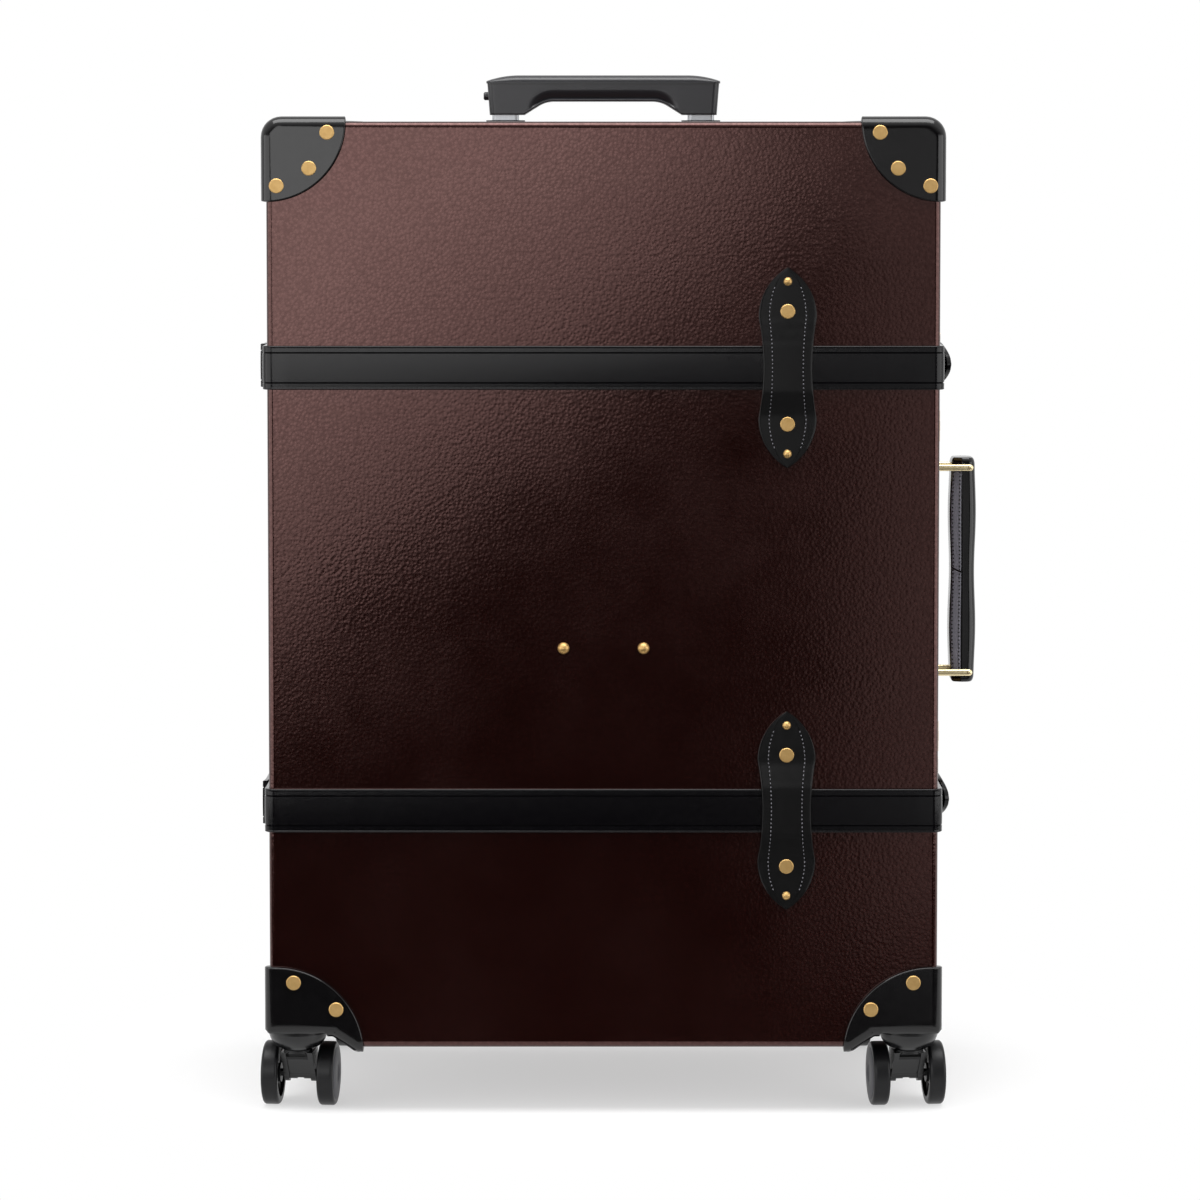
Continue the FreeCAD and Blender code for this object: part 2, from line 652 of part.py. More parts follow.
def loop_spots(offset, y, turn):
    """Places on both ends of both loops of one face."""
    return [at("dims.loop_offset", y, f"{middle} + {way} * {offset}", turn)
            for middle in (UPPER_STRAP, LOWER_STRAP) for way in ("-1", "1")]


def loop_fixings(label, y, turn):
    """Rivets and nails of the loops on one face."""
    doc.recompute()
    solids = []
    for head, offset in ((rivet, "dims.loop_rivet_offset"), (nail, "dims.loop_nail_offset")):
        for spot in loop_spots(offset, y, turn):
            solid = head.Shape.Solids[0].copy()
            solid.Placement = spot
            solids.append(solid)
    return shaped(label, Part.makeCompound(solids))


loop_fixings("lid_loop_rivets", f"{FRONT} - dims.loop_thickness", OUT_FRONT)
loop_fixings("base_loop_rivets", f"{BACK} + dims.loop_thickness", OUT_BACK)


# Strap tongues: the free ends on the right side, their round tips curling out over the lid
TONGUE_FACE = f"({STRAP_FACE} + dims.fit_gap)"
TONGUE_ROOT = f"({SPLIT} + dims.tongue_start)"


def strap_tongue():
    """One tongue about the strap's middle."""
    bend_at = f"({TONGUE_ROOT} - dims.tongue_flat)"
    run = "(dims.tongue_length - dims.tongue_flat)"
    radius = f"(({run})^2 + dims.tongue_curl^2) / (2 * dims.tongue_curl)"
    turn = f"asin({run} / ({radius}))"
    thin = f"({radius} - dims.strap_thickness)"
    centre = f"({TONGUE_FACE} + {radius})"
    edge = body_of("tongue_edge")
    outline = [(TONGUE_FACE, TONGUE_ROOT), (TONGUE_FACE, bend_at, radius),
               (f"{centre} - ({radius}) * cos({turn})", f"{bend_at} - ({radius}) * sin({turn})"),
               (f"{centre} - {thin} * cos({turn})", f"{bend_at} - {thin} * sin({turn})", f"-{thin}"),
               (f"{TONGUE_FACE} + dims.strap_thickness", bend_at),
               (f"{TONGUE_FACE} + dims.strap_thickness", TONGUE_ROOT)]
    half = "(dims.strap_width / 2)"
    pad(edge, sketch_on(edge, "XY_Plane", outline, offset=f"-{half}"), "dims.strap_width")
    plan = body_of("tongue_plan")
    tip = f"({TONGUE_ROOT} - dims.tongue_length + dims.strap_thickness / 2)"
    shoulder = f"({tip} + dims.tongue_tip)"
    point = f"(({half})^2 + dims.tongue_tip^2) / dims.strap_width"
    shape = [(TONGUE_ROOT, f"-{half}"), (TONGUE_ROOT, half), (shoulder, half, point),
             (tip, "0", point), (shoulder, f"-{half}")]
    pad(plan, sketch_on(plan, "YZ_Plane", shape, offset=HALF), "dims.case_width")
    return common("tongue", edge, plan)


tongue = strap_tongue()
copies("upper_strap_tongue", tongue, [at("0", "0", UPPER_STRAP)])
copies("lower_strap_tongue", tongue, [at("0", "0", LOWER_STRAP)])


def rounded(width, depth, radius, x="0", y="0"):
    """Rectangle with round corners about a point."""
    west, east = f"({x} - {width} / 2)", f"({x} + {width} / 2)"
    south, north = f"({y} - {depth} / 2)", f"({y} + {depth} / 2)"
    return [(f"{west} + {radius}", south), (f"{east} - {radius}", south, radius),
            (east, f"{south} + {radius}"), (east, f"{north} - {radius}", radius),
            (f"{east} - {radius}", north), (f"{west} + {radius}", north, radius),
            (west, f"{north} - {radius}"), (west, f"{south} + {radius}", radius)]


def rectangle(west, east, south, north):
    """Rectangle between four expressions."""
    return [(west, south), (east, south), (east, north), (west, north)]


# Buckles: cast frames on the tongues, each with a prong that turns on a pin
BUCKLE_FACE = f"({TONGUE_FACE} + dims.strap_thickness)"
BUCKLE_MIDDLE = f"({SPLIT} + dims.buckle_set)"
PRONG_X = f"({BUCKLE_FACE} + dims.buckle_thickness / 2)"
BUCKLE_INNER = f"({BUCKLE_MIDDLE} + dims.buckle_width / 2 - dims.buckle_bar)"
PRONG_Y = f"({BUCKLE_INNER} - dims.prong_eye / 2 - 2 * dims.fit_gap)"

frame = body_of("frame")
window = rounded("(dims.buckle_width - 2 * dims.buckle_bar)", "(dims.buckle_length - 2 * dims.buckle_bar)",
                 "(dims.buckle_bar / 2)", BUCKLE_MIDDLE)
rim_line = rounded("dims.buckle_width", "dims.buckle_length", "dims.buckle_bar", BUCKLE_MIDDLE)
pad(frame, sketch_on(frame, "YZ_Plane", rim_line, window, offset=BUCKLE_FACE), "dims.buckle_thickness")
pin_sketch = sketch_on(frame, "XY_Plane", (PRONG_X, PRONG_Y, "dims.buckle_pin / 2"),
                       offset="dims.buckle_bar / 2 - dims.buckle_length / 2")
pad(frame, pin_sketch, "dims.buckle_length - dims.buckle_bar")
copies("buckle_frames", frame, [at("0", "0", middle) for middle in (UPPER_STRAP, LOWER_STRAP)])

prong = body_of("prong")
side = "-dims.prong_width / 2"
eye = "(dims.prong_eye / 2)"
pad(prong, sketch_on(prong, "XY_Plane", (PRONG_X, PRONG_Y, eye), offset=side), "dims.prong_width")
prong_foot = f"({BUCKLE_FACE} + dims.buckle_thickness + dims.fit_gap)"
prong_top = f"({prong_foot} + dims.prong_height)"
prong_tip = f"({BUCKLE_MIDDLE} - dims.buckle_width / 2)"
knee = f"({PRONG_Y} - dims.prong_slope)"
prong_bar = [(f"{PRONG_X} + {eye}", PRONG_Y), (PRONG_X, f"{PRONG_Y} - {eye}"), (prong_foot, knee),
             (prong_foot, prong_tip), (prong_top, prong_tip), (prong_top, knee)]
pad(prong, sketch_on(prong, "XY_Plane", prong_bar, offset=side), "dims.prong_width")
prong_bore = (PRONG_X, PRONG_Y, "dims.buckle_pin / 2 + dims.pin_gap")
pocket(prong, sketch_on(prong, "XY_Plane", prong_bore, offset="dims.prong_width / 2"), "dims.prong_width")
copies("upper_buckle_prong", prong, [at("0", "0", UPPER_STRAP)])
copies("lower_buckle_prong", prong, [at("0", "0", LOWER_STRAP)])

# Lid hinges: three butt hinges on the left wall; their axis clears the straps
HINGE_X = f"(-({STRAP_FACE} + dims.strap_split))"
HINGE_SPOTS = [at("0", "0", f"{STRAP_MIDDLE} + {row} * dims.hinge_spacing") for row in ("-1", "0", "1")]
KNUCKLES = {"lid": (("-1/6", "1/6"),), "base": (("-1/2", "-1/6"), ("1/6", "1/2"))}


def hinge_leaf(half, way):
    """Leaf with its share of the knuckles; way is the side of the lid's edge that it lies on."""
    body = body_of(half + "_leaf")
    wall = f"(-{HALF})"
    start = f"({SPLIT} + {way} * dims.hinge_knuckle / 3)"
    stop = f"({start} + {way} * dims.hinge_leaf_width)"
    low, high = (start, stop) if way == "1" else (stop, start)
    plate = rectangle(f"{wall} - dims.hinge_leaf", wall, low, high)
    pad(body, sketch_on(body, "XY_Plane", plate, offset="-dims.hinge_length / 2"), "dims.hinge_length")
    for bottom, top in KNUCKLES[half]:
        foot = f"({bottom}) * dims.hinge_length + dims.fit_gap / 2"
        length = f"(({top}) - ({bottom})) * dims.hinge_length - dims.fit_gap"
        near = f"({SPLIT} + {way} * dims.fit_gap)"
        ends = (near, start) if way == "1" else (start, near)
        web = rectangle(HINGE_X, f"{wall} - dims.hinge_leaf / 2", *ends)
        knuckle = (HINGE_X, SPLIT, "dims.hinge_knuckle / 2")
        pad(body, sketch_on(body, "XY_Plane", knuckle, offset=foot), length)
        pad(body, sketch_on(body, "XY_Plane", web, offset=foot), length)
    bore = sketch_on(body, "XY_Plane", (HINGE_X, SPLIT, "dims.hinge_pin / 2 + dims.pin_gap"),
                     offset="dims.hinge_length / 2")
    pocket(body, bore, "dims.hinge_length")
    return body


copies("lid_hinge_leaves", hinge_leaf("lid", "-1"), HINGE_SPOTS)
copies("base_hinge_leaves", hinge_leaf("base", "1"), HINGE_SPOTS)
hinge_pin = bound("Part::Cylinder", "hinge_pin", Radius="dims.hinge_pin / 2", Height="dims.hinge_length")
place(hinge_pin, HINGE_X, SPLIT, "-dims.hinge_length / 2")
copies("hinge_pins", hinge_pin, HINGE_SPOTS)

# Locks: flat cases on the base with push buttons, and hasps that turn on plates on the lid
UPPER_LOCK = f"({STRAP_MIDDLE} + dims.lock_spacing / 2)"
LOWER_LOCK = f"({STRAP_MIDDLE} - dims.lock_spacing / 2)"
LOCK_FACE = f"({HALF} + dims.lock_thickness)"
BUTTON_Y = f"({SPLIT} + dims.lock_button_set)"

lock = body_of("lock")
lock_plan = rounded("dims.lock_length", "dims.lock_height", "dims.lock_thickness",
                    f"({SPLIT} + dims.lock_set + dims.lock_length / 2)")
pad(lock, sketch_on(lock, "YZ_Plane", lock_plan, offset=HALF), "dims.lock_thickness")
well = sketch_on(lock, "YZ_Plane", (BUTTON_Y, "0", "dims.lock_button / 2 + dims.pin_gap"), offset=LOCK_FACE)
pocket(lock, well, "dims.lock_thickness - dims.fit_gap")
copies("lock_bodies", lock, [at("0", "0", middle) for middle in (UPPER_LOCK, LOWER_LOCK)])

lock_button = body_of("lock_button")
button_end = "(dims.lock_button_rise + dims.lock_button_depth)"
button_side = "dims.lock_button / 2"
button_line = [("0", "0"), (button_side, "0"), (button_side, f"{button_end} - dims.fit_gap"),
               (f"{button_side} - dims.fit_gap", button_end), ("0", button_end)]
revolve(lock_button, sketch_on(lock_button, "XZ_Plane", button_line), "V_Axis")
OUT_RIGHT = Rotation(Vector(0, 1, 0), 90)
for label, middle in (("upper_lock_button", UPPER_LOCK), ("lower_lock_button", LOWER_LOCK)):
    copies(label, lock_button, [at(f"{LOCK_FACE} - dims.lock_button_depth", BUTTON_Y, middle, OUT_RIGHT)])

HASP_X = f"({HALF} + dims.hasp_knuckle / 2 + 2 * dims.fit_gap)"
HASP_Y = f"({SPLIT} - dims.hasp_pivot)"
HASP_FACE = f"({LOCK_FACE} + dims.fit_gap)"
HASP_CLEAR = f"({HASP_Y} + dims.hasp_knuckle / 2 + dims.fit_gap)"
THIRD = "(dims.hasp_width / 3)"

hasp_plate = body_of("hasp_plate")
hasp_foot = "-dims.hasp_width / 2"
hasp_under = f"{HALF} + dims.hasp_thickness"
hasp_ring = (HASP_X, HASP_Y, "dims.hasp_knuckle / 2")
ear = f"{THIRD} - dims.fit_gap / 2"
ear_web = rectangle(HALF, hasp_under, HASP_Y, f"{HASP_CLEAR} + dims.hasp_thickness")
hasp_base = rectangle(HALF, hasp_under, HASP_CLEAR, f"{SPLIT} - dims.lock_set")
pad(hasp_plate, sketch_on(hasp_plate, "XY_Plane", hasp_base, offset=hasp_foot), "dims.hasp_width")
for foot in (hasp_foot, f"{THIRD} / 2 + dims.fit_gap / 2"):
    pad(hasp_plate, sketch_on(hasp_plate, "XY_Plane", hasp_ring, offset=foot), ear)
    pad(hasp_plate, sketch_on(hasp_plate, "XY_Plane", ear_web, offset=foot), ear)
hasp_pin = sketch_on(hasp_plate, "XY_Plane", (HASP_X, HASP_Y, "dims.hasp_pin / 2"), offset=hasp_foot)
pad(hasp_plate, hasp_pin, "dims.hasp_width")
copies("hasp_plates", hasp_plate, [at("0", "0", middle) for middle in (UPPER_LOCK, LOWER_LOCK)])

hasp = body_of("hasp")
hasp_bore = (HASP_X, HASP_Y, "dims.hasp_pin / 2 + dims.pin_gap")
barrel = f"{THIRD} - dims.fit_gap"
barrel_foot = f"dims.fit_gap / 2 - {THIRD} / 2"
pad(hasp, sketch_on(hasp, "XY_Plane", hasp_ring, hasp_bore, offset=barrel_foot), barrel)
hasp_top = f"{HASP_FACE} + dims.hasp_thickness"
neck = rectangle(HASP_FACE, hasp_top, HASP_Y, f"{HASP_CLEAR} + dims.hasp_thickness")
pad(hasp, sketch_on(hasp, "XY_Plane", neck, offset=barrel_foot), barrel)
blade_middle = f"(({HASP_CLEAR} + {HASP_Y} + dims.hasp_length) / 2)"
blade_reach = f"({HASP_Y} + dims.hasp_length - {HASP_CLEAR})"
blade = rounded(blade_reach, "dims.hasp_width", "dims.hasp_knuckle / 2", blade_middle)
pad(hasp, sketch_on(hasp, "YZ_Plane", blade, offset=HASP_FACE), "dims.hasp_thickness")
copies("upper_lock_hasp", hasp, [at("0", "0", UPPER_LOCK)])
copies("lower_lock_hasp", hasp, [at("0", "0", LOWER_LOCK)])

# Side handle: a padded leather grip on two brass loops that swing on lugs
HANDLE_X = f"({HALF} + dims.handle_offset)"
HANDLE_Z = f"({BOTTOM} + dims.handle_middle)"
PIVOT_X = f"({HALF} + dims.loop_pivot)"
PIN_X = f"({PIVOT_X} + dims.loop_arm)"
UPPER_PIN = f"({HANDLE_Z} + dims.loop_pins / 2)"
LOWER_PIN = f"({HANDLE_Z} - dims.loop_pins / 2)"
LEG_Y = "(dims.handle_width / 2 + dims.loop_cheek / 2 + 2 * dims.fit_gap)"

handle = body_of("side_handle")
inner_x = f"({HANDLE_X} - dims.handle_thickness / 2)"
outer_x = f"({HANDLE_X} + dims.handle_thickness / 2)"
side_y = "-dims.handle_width / 2"
near_half = [(inner_x, "-dims.handle_inner / 2"), (f"{inner_x} + dims.handle_facet", side_y),
             (f"{outer_x} - dims.handle_bevel", side_y), (outer_x, "-dims.handle_outer / 2")]
far_half = [(x, f"-({y})") for x, y in reversed(near_half)]
low_z = f"({HANDLE_Z} - dims.handle_length / 2)"
pad(handle, sketch_on(handle, "XY_Plane", near_half + far_half, offset=low_z), "dims.handle_length")
round_edges(handle, "dims.handle_round", lambda edge: True)
eyes = [(PIN_X, spot, "dims.loop_wire / 2 + dims.pin_gap") for spot in (UPPER_PIN, LOWER_PIN)]
pocket(handle, sketch_on(handle, "XZ_Plane", *eyes, offset="-dims.handle_width / 2"),
       "dims.handle_width", True)
node(handle, "side_handle")


def handle_loop():
    """One loop about its wall pivot, its arms level: wall bar, two round-ended arms and the grip's pin."""
    body = body_of("handle_loop")
    wire = "(dims.loop_wire / 2)"
    bar = "(dims.loop_bar / 2)"
    span = f"2 * {LEG_Y}"
    pad(body, sketch_on(body, "XZ_Plane", (PIVOT_X, "0", wire), offset=f"-{LEG_Y}"), span)
    arm = [(PIVOT_X, f"-{bar}"), (PIN_X, f"-{bar}", bar), (f"{PIN_X} + {bar}", "0", bar), (PIN_X, bar),
           (PIVOT_X, bar, bar), (f"{PIVOT_X} - {bar}", "0", bar)]
    for way in ("-1", "1"):
        near = f"{way} * {LEG_Y} - dims.loop_cheek / 2"
        pad(body, sketch_on(body, "XZ_Plane", arm, offset=near), "dims.loop_cheek")
    pad(body, sketch_on(body, "XZ_Plane", (PIN_X, "0", wire), offset=f"-{LEG_Y}"), span)
    return body


loop_frame = handle_loop()
copies("upper_handle_loop", loop_frame, [at("0", "0", UPPER_PIN)])
copies("lower_handle_loop", loop_frame, [at("0", "0", LOWER_PIN)])

lug = body_of("lug")
lug_top = f"({PIVOT_X} + dims.loop_wire)"
foot_plate = rectangle("-dims.lug_plate_length / 2", "dims.lug_plate_length / 2",
                       "-dims.lug_plate_height / 2", "dims.lug_plate_height / 2")
pad(lug, sketch_on(lug, "YZ_Plane", foot_plate, offset=HALF), "dims.lug_plate")
lug_half = "dims.lug_height / 2"
saddle = [(HALF, f"-{lug_half}"), (PIVOT_X, f"-{lug_half}"), (lug_top, f"-{lug_half} / 2"),
          (lug_top, f"{lug_half} / 2"), (PIVOT_X, lug_half), (HALF, lug_half)]
pad(lug, sketch_on(lug, "XZ_Plane", saddle, offset="-dims.lug_width / 2"), "dims.lug_width")
seat = (PIVOT_X, "0", "dims.loop_wire / 2 + dims.pin_gap")
pocket(lug, sketch_on(lug, "XZ_Plane", seat, offset="-dims.lug_width"), "2 * dims.lug_width", True)
copies("handle_lugs", lug, [at("0", "0", spot) for spot in (UPPER_PIN, LOWER_PIN)])

# Trolley: three nested pairs of flat tubes; the outer pair stands on a bracket behind the lining
TROLLEY_Y = f"({BACK} - dims.trolley_back)"
TUBE_TOP = f"({TOP} - dims.wall)"
TUBE_FOOT = f"({TUBE_TOP} - dims.tube_length)"
BEZEL_TOP = f"({TOP} + dims.bezel_plate)"
GRIP_FOOT = f"({TOP} + dims.grip_gap)"
TUBE_SPOTS = [at(f"{side} * dims.trolley_spacing / 2", TROLLEY_Y, "0") for side in ("-1", "1")]
LAYER = "(2 * dims.tube_wall + 2 * dims.fit_gap)"


def tube_section(layers, extra):
    """Outline of the tube that lies a number of layers outside the inner one, grown by extra all round."""
    grow = f"({layers} * {LAYER} + 2 * {extra})"
    return rounded(f"(dims.tube_width + {grow})", f"(dims.tube_depth + {grow})",
                   f"(dims.tube_round + {grow} / 2)")


def tubes(label, layers, foot, head):
    """Pair of tubes between two heights."""
    body = body_of(label + "_one")
    inside = tube_section(layers, "(-dims.tube_wall)")
    outside = tube_section(layers, "0")
    pad(body, sketch_on(body, "XY_Plane", outside, inside, offset=foot), f"({head}) - ({foot})")
    return copies(label, body, TUBE_SPOTS)


tubes("outer_tubes", "2", TUBE_FOOT, TUBE_TOP)
tubes("middle_tubes", "1", f"{TUBE_FOOT} + dims.tube_step", BEZEL_TOP)
tubes("inner_tubes", "0", f"{TUBE_FOOT} + 2 * dims.tube_step", f"{GRIP_FOOT} + dims.grip_socket")

PASSAGE = tube_section("1", "(dims.fit_gap)")
passages = [[(f"{side} * dims.trolley_spacing / 2 + {x}", f"{TROLLEY_Y} + {y}", *bend)
             for x, y, *bend in PASSAGE] for side in ("-1", "1")]
pocket(base_shell, sketch_on(base_shell, "XY_Plane", *passages, offset=f"{TOP} + dims.wall"),
       "3 * dims.wall")

bracket_reach = "(dims.trolley_spacing / 2 + dims.tube_width)"
bracket = box("bracket", (f"-{bracket_reach}", bracket_reach),
              (f"{TROLLEY_Y} - dims.tube_depth", f"{BACK} - dims.wall"),
              (f"{TUBE_FOOT} - dims.bracket_height", TUBE_FOOT))
node(bracket, "tube_bracket")

bezel = body_of("bezel")
pad(bezel, sketch_on(bezel, "XY_Plane", rounded("dims.bezel_width", "dims.bezel_depth", "dims.grip_round"),
                     offset=TOP), "dims.bezel_plate")
collar = tube_section("1", "dims.bezel_rim")
collar_top = f"{BEZEL_TOP} + dims.bezel_collar"
pad(bezel, sketch_on(bezel, "XY_Plane", collar, offset=BEZEL_TOP), "dims.bezel_collar")
pocket(bezel, sketch_on(bezel, "XY_Plane", PASSAGE, offset=collar_top),
       "dims.bezel_plate + dims.bezel_collar")
copies("tube_bezels", bezel, TUBE_SPOTS)

# Trolley grip: a moulded bridge with slanting legs, a domed cap and a release button in its left end
UPRIGHT = Vector(0, 0, 1)
GRIP_BACK = f"({TROLLEY_Y} + dims.grip_depth / 2)"
PARTING = f"({TOP} + dims.grip_parting)"
GRIP_END = "(dims.grip_width / 2)"
BUTTON_Z = f"({TOP} + dims.button_height)"

grip = body_of("trolley_grip")
leg_in = f"({GRIP_END} - dims.grip_leg)"
bar_in = f"({leg_in} - dims.grip_slant)"
under = f"({TOP} + dims.grip_under)"
lean = "atan((dims.grip_under - dims.grip_gap) / dims.grip_slant)"
reach = f"(dims.grip_bend * tan({lean} / 2))"
bend_low = (f"({bar_in} + {reach} * cos({lean}))", f"{under} - {reach} * sin({lean})")
bend_high = (f"({bar_in} - {reach})", under)
shoulder_x = f"({GRIP_END} - dims.grip_lip)"
foot_x = f"({shoulder_x} - dims.grip_draft)"
bridge = [(f"-{foot_x}", GRIP_FOOT), (f"-{leg_in}", GRIP_FOOT),
          (f"-{bend_low[0]}", bend_low[1], "-dims.grip_bend"), (f"-{bend_high[0]}", bend_high[1]),
          (*bend_high, "-dims.grip_bend"), bend_low, (leg_in, GRIP_FOOT), (foot_x, GRIP_FOOT),
          (shoulder_x, PARTING), (f"-{shoulder_x}", PARTING)]
pad(grip, sketch_on(grip, "XZ_Plane", bridge, offset=f"-{GRIP_BACK} + dims.grip_lip"),
    "dims.grip_depth - 2 * dims.grip_lip")
round_edges(grip, "dims.grip_round", lambda edge: along(edge, UPRIGHT, 0.9))
sockets = [[(f"{side} * dims.trolley_spacing / 2 + {x}", f"{TROLLEY_Y} + {y}", *bend)
            for x, y, *bend in tube_section("0", "dims.pin_gap")] for side in ("-1", "1")]
pocket(grip, sketch_on(grip, "XY_Plane", *sockets, offset=GRIP_FOOT), "dims.grip_socket", True)
well = (TROLLEY_Y, BUTTON_Z, "dims.button_diameter / 2 + dims.pin_gap")
pocket(grip, sketch_on(grip, "YZ_Plane", well, offset=f"-{GRIP_END}"),
       "dims.button_inside + dims.button_travel + dims.fit_gap", True)
node(grip, "trolley_grip")

cap = body_of("grip_cap")
cap_top = f"({PARTING} + dims.grip_cap)"
cap_low = f"({PARTING} + dims.cap_end)"
rise = "(dims.grip_cap - dims.cap_end)"
cap_bend = f"(dims.cap_slope^2 + {rise}^2) / (2 * {rise})"
slope_in = f"({GRIP_END} - dims.cap_slope)"
cap_line = [(f"-{GRIP_END}", PARTING), (GRIP_END, PARTING), (GRIP_END, cap_low, cap_bend),
            (slope_in, cap_top), (f"-{slope_in}", cap_top, cap_bend), (f"-{GRIP_END}", cap_low)]
pad(cap, sketch_on(cap, "XZ_Plane", cap_line, offset=f"-{GRIP_BACK}"), "dims.grip_depth")
round_edges(cap, "dims.grip_round", lambda edge: along(edge, UPRIGHT))
CAP_FOOT = value(PARTING)
CAP_TOP = value(cap_top)


def cap_edge(edge):
    """Whether an edge runs round the top of the cap, where it can be rounded."""
    smooth = along(edge, UPRIGHT) or along(edge, Vector(0, 1, 0)) and level(edge, 2, CAP_TOP)
    return not smooth and not level(edge, 2, CAP_FOOT)


round_edges(cap, "dims.cap_round", cap_edge)
node(cap, "grip_cap")

button = body_of("release_button")
stub_end = "(dims.button_inside + dims.button_rise)"
stub_side = "dims.button_diameter / 2"
stub = [("0", "0"), (stub_side, "0"), (stub_side, f"{stub_end} - dims.button_bevel"),
        (f"{stub_side} - dims.button_bevel", stub_end), ("0", stub_end)]
revolve(button, sketch_on(button, "XZ_Plane", stub), "V_Axis")
place(button, f"-{GRIP_END} + dims.button_inside", TROLLEY_Y, BUTTON_Z, Vector(0, 1, 0), "-90")
node(button, "release_button")

# Casters: a cup under each corner, a fork that swivels in it, and two wheels on a cross axle
CASTER_X = f"({HALF} - dims.caster_side)"
CASTER_Y = f"({BACK} - dims.caster_face)"
CUP_FOOT = f"({CHANNEL} - dims.cup_height)"
FORK_TOP = f"({CUP_FOOT} - dims.fit_gap)"
FORK_NECK = f"({FORK_TOP} - dims.fork_head)"
AXLE_Z = "(dims.wheel_diameter / 2)"

cup = body_of("cup")
stem_bore = "(dims.stem_diameter / 2 + dims.pin_gap)"
stem_roof = f"({CUP_FOOT} + dims.stem_length)"
cup_side = "dims.cup_top / 2"
cup_line = [(stem_bore, CUP_FOOT), ("dims.cup_foot / 2", CUP_FOOT, "dims.cup_bend"),
            (cup_side, f"{CHANNEL} - dims.cup_lip"), (cup_side, CHANNEL), ("0", CHANNEL),
            ("0", stem_roof), (stem_bore, stem_roof)]
revolve(cup, sketch_on(cup, "XZ_Plane", cup_line), "V_Axis")
for label, row in (("lid_caster_cups", "-1"), ("base_caster_cups", "1")):
    copies(label, cup, [at(f"{side} * {CASTER_X}", f"{row} * {CASTER_Y}", "0") for side in ("-1", "1")])

fork = body_of("fork")
stem_end = f"({stem_roof} - dims.fit_gap)"
head = [("0", FORK_NECK), ("dims.fork_disc / 2", FORK_NECK), ("dims.fork_disc / 2", FORK_TOP),
        ("dims.stem_diameter / 2", FORK_TOP), ("dims.stem_diameter / 2", stem_end), ("0", stem_end)]
revolve(fork, sketch_on(fork, "XZ_Plane", head), "V_Axis")
reach = "(dims.fork_disc / 2 - dims.fit_gap)"
waist = f"({FORK_NECK} - dims.fork_shoulder)"
under_head = f"({FORK_NECK} + dims.fork_head / 2)"


def leg_line(inset):
    """Side outline of a fork leg, its front and back moved in by an inset."""
    foot = f"(dims.fork_foot - ({inset}))"
    front = f"({inset} - {reach})"
    return [(front, under_head), (f"{front} + dims.fork_shoulder", waist),
            (f"dims.caster_trail - {foot}", AXLE_Z, foot), ("dims.caster_trail", f"{AXLE_Z} - {foot}", foot),
            (f"dims.caster_trail + {foot}", AXLE_Z), (f"dims.caster_trail + {foot}", FORK_NECK),
            (f"{reach} - ({inset})", under_head)]


pad(fork, sketch_on(fork, "YZ_Plane", leg_line("dims.fork_recess"), offset="-dims.fork_width / 2"),
    "dims.fork_width")
for rib in ("-dims.fork_width / 2", "dims.fork_width / 2 - dims.fork_rib"):
    pad(fork, sketch_on(fork, "YZ_Plane", leg_line("0"), offset=rib), "dims.fork_rib")
bar = rectangle(f"-{reach} + dims.fork_shoulder", "dims.caster_trail", waist, f"{waist} + dims.fork_bar")
pad(fork, sketch_on(fork, "YZ_Plane", bar, offset="-dims.fork_width / 2"), "dims.fork_width")
slot_side = "(dims.fork_width / 2 - dims.fork_rib)"
slot = rectangle(f"-{slot_side}", slot_side, f"{waist} + dims.fork_bar", FORK_NECK)
pocket(fork, sketch_on(fork, "XZ_Plane", slot, offset=reach), "dims.fork_slot")
notch = rectangle("-dims.fork_notch / 2", "dims.fork_notch / 2", f"{AXLE_Z} - 2 * dims.fork_foot",
                  f"{AXLE_Z} - dims.axle_diameter / 2 - dims.fit_gap")
pocket(fork, sketch_on(fork, "XZ_Plane", notch, offset="dims.wheel_diameter"), "2 * dims.wheel_diameter")
axle_hole = ("dims.caster_trail", AXLE_Z, "dims.axle_diameter / 2 + dims.pin_gap / 2")
pocket(fork, sketch_on(fork, "YZ_Plane", axle_hole, offset="dims.fork_width"), "2 * dims.fork_width")

axle = bound("Part::Cylinder", "axle", Radius="dims.axle_diameter / 2",
             Height="dims.wheel_gap + 2 * dims.axle_seat")
place(axle, "-dims.wheel_gap / 2 - dims.axle_seat", "dims.caster_trail", AXLE_Z, Vector(0, 1, 0), "90")

wheel = body_of("wheel")
tread = "(dims.wheel_diameter / 2)"
shoulder = f"({tread} - dims.wheel_round)"
rim_in = f"({tread} - dims.wheel_rim)"
hub = "(dims.wheel_hub / 2)"
bore = "(dims.axle_diameter / 2 + dims.pin_gap)"
bore_end = "(dims.axle_seat + dims.fit_gap)"
bend = "dims.wheel_round"
wheel_line = [("0", bore), (bore_end, bore), (bore_end, "0"), ("dims.wheel_width", "0"),
              ("dims.wheel_width", shoulder, bend), (f"dims.wheel_width - {bend}", tread),
              (bend, tread, bend), ("0", shoulder), ("0", rim_in),
              ("dims.wheel_dish", rim_in), ("dims.wheel_dish", hub), ("0", hub)]
revolve(wheel, sketch_on(wheel, "XZ_Plane", wheel_line), "H_Axis")
gap_in = f"({hub} + dims.spoke_margin)"
gap_out = f"({rim_in} - dims.spoke_margin)"
half_gap = "(dims.spoke_opening / 2)"
window = [(f"{way} * {r} * sin({half_gap})", f"{r} * cos({half_gap})")
          for way, r in (("-1", gap_in), ("1", gap_in), ("1", gap_out), ("-1", gap_out))]
between = sketch_on(wheel, "YZ_Plane", window, offset="dims.wheel_dish")
gap = pocket(wheel, between, "dims.spoke_depth", True)
ring = wheel.newObject("PartDesign::PolarPattern", "spokes")
ring.Originals = [gap]
ring.Axis = (between, ["N_Axis"])
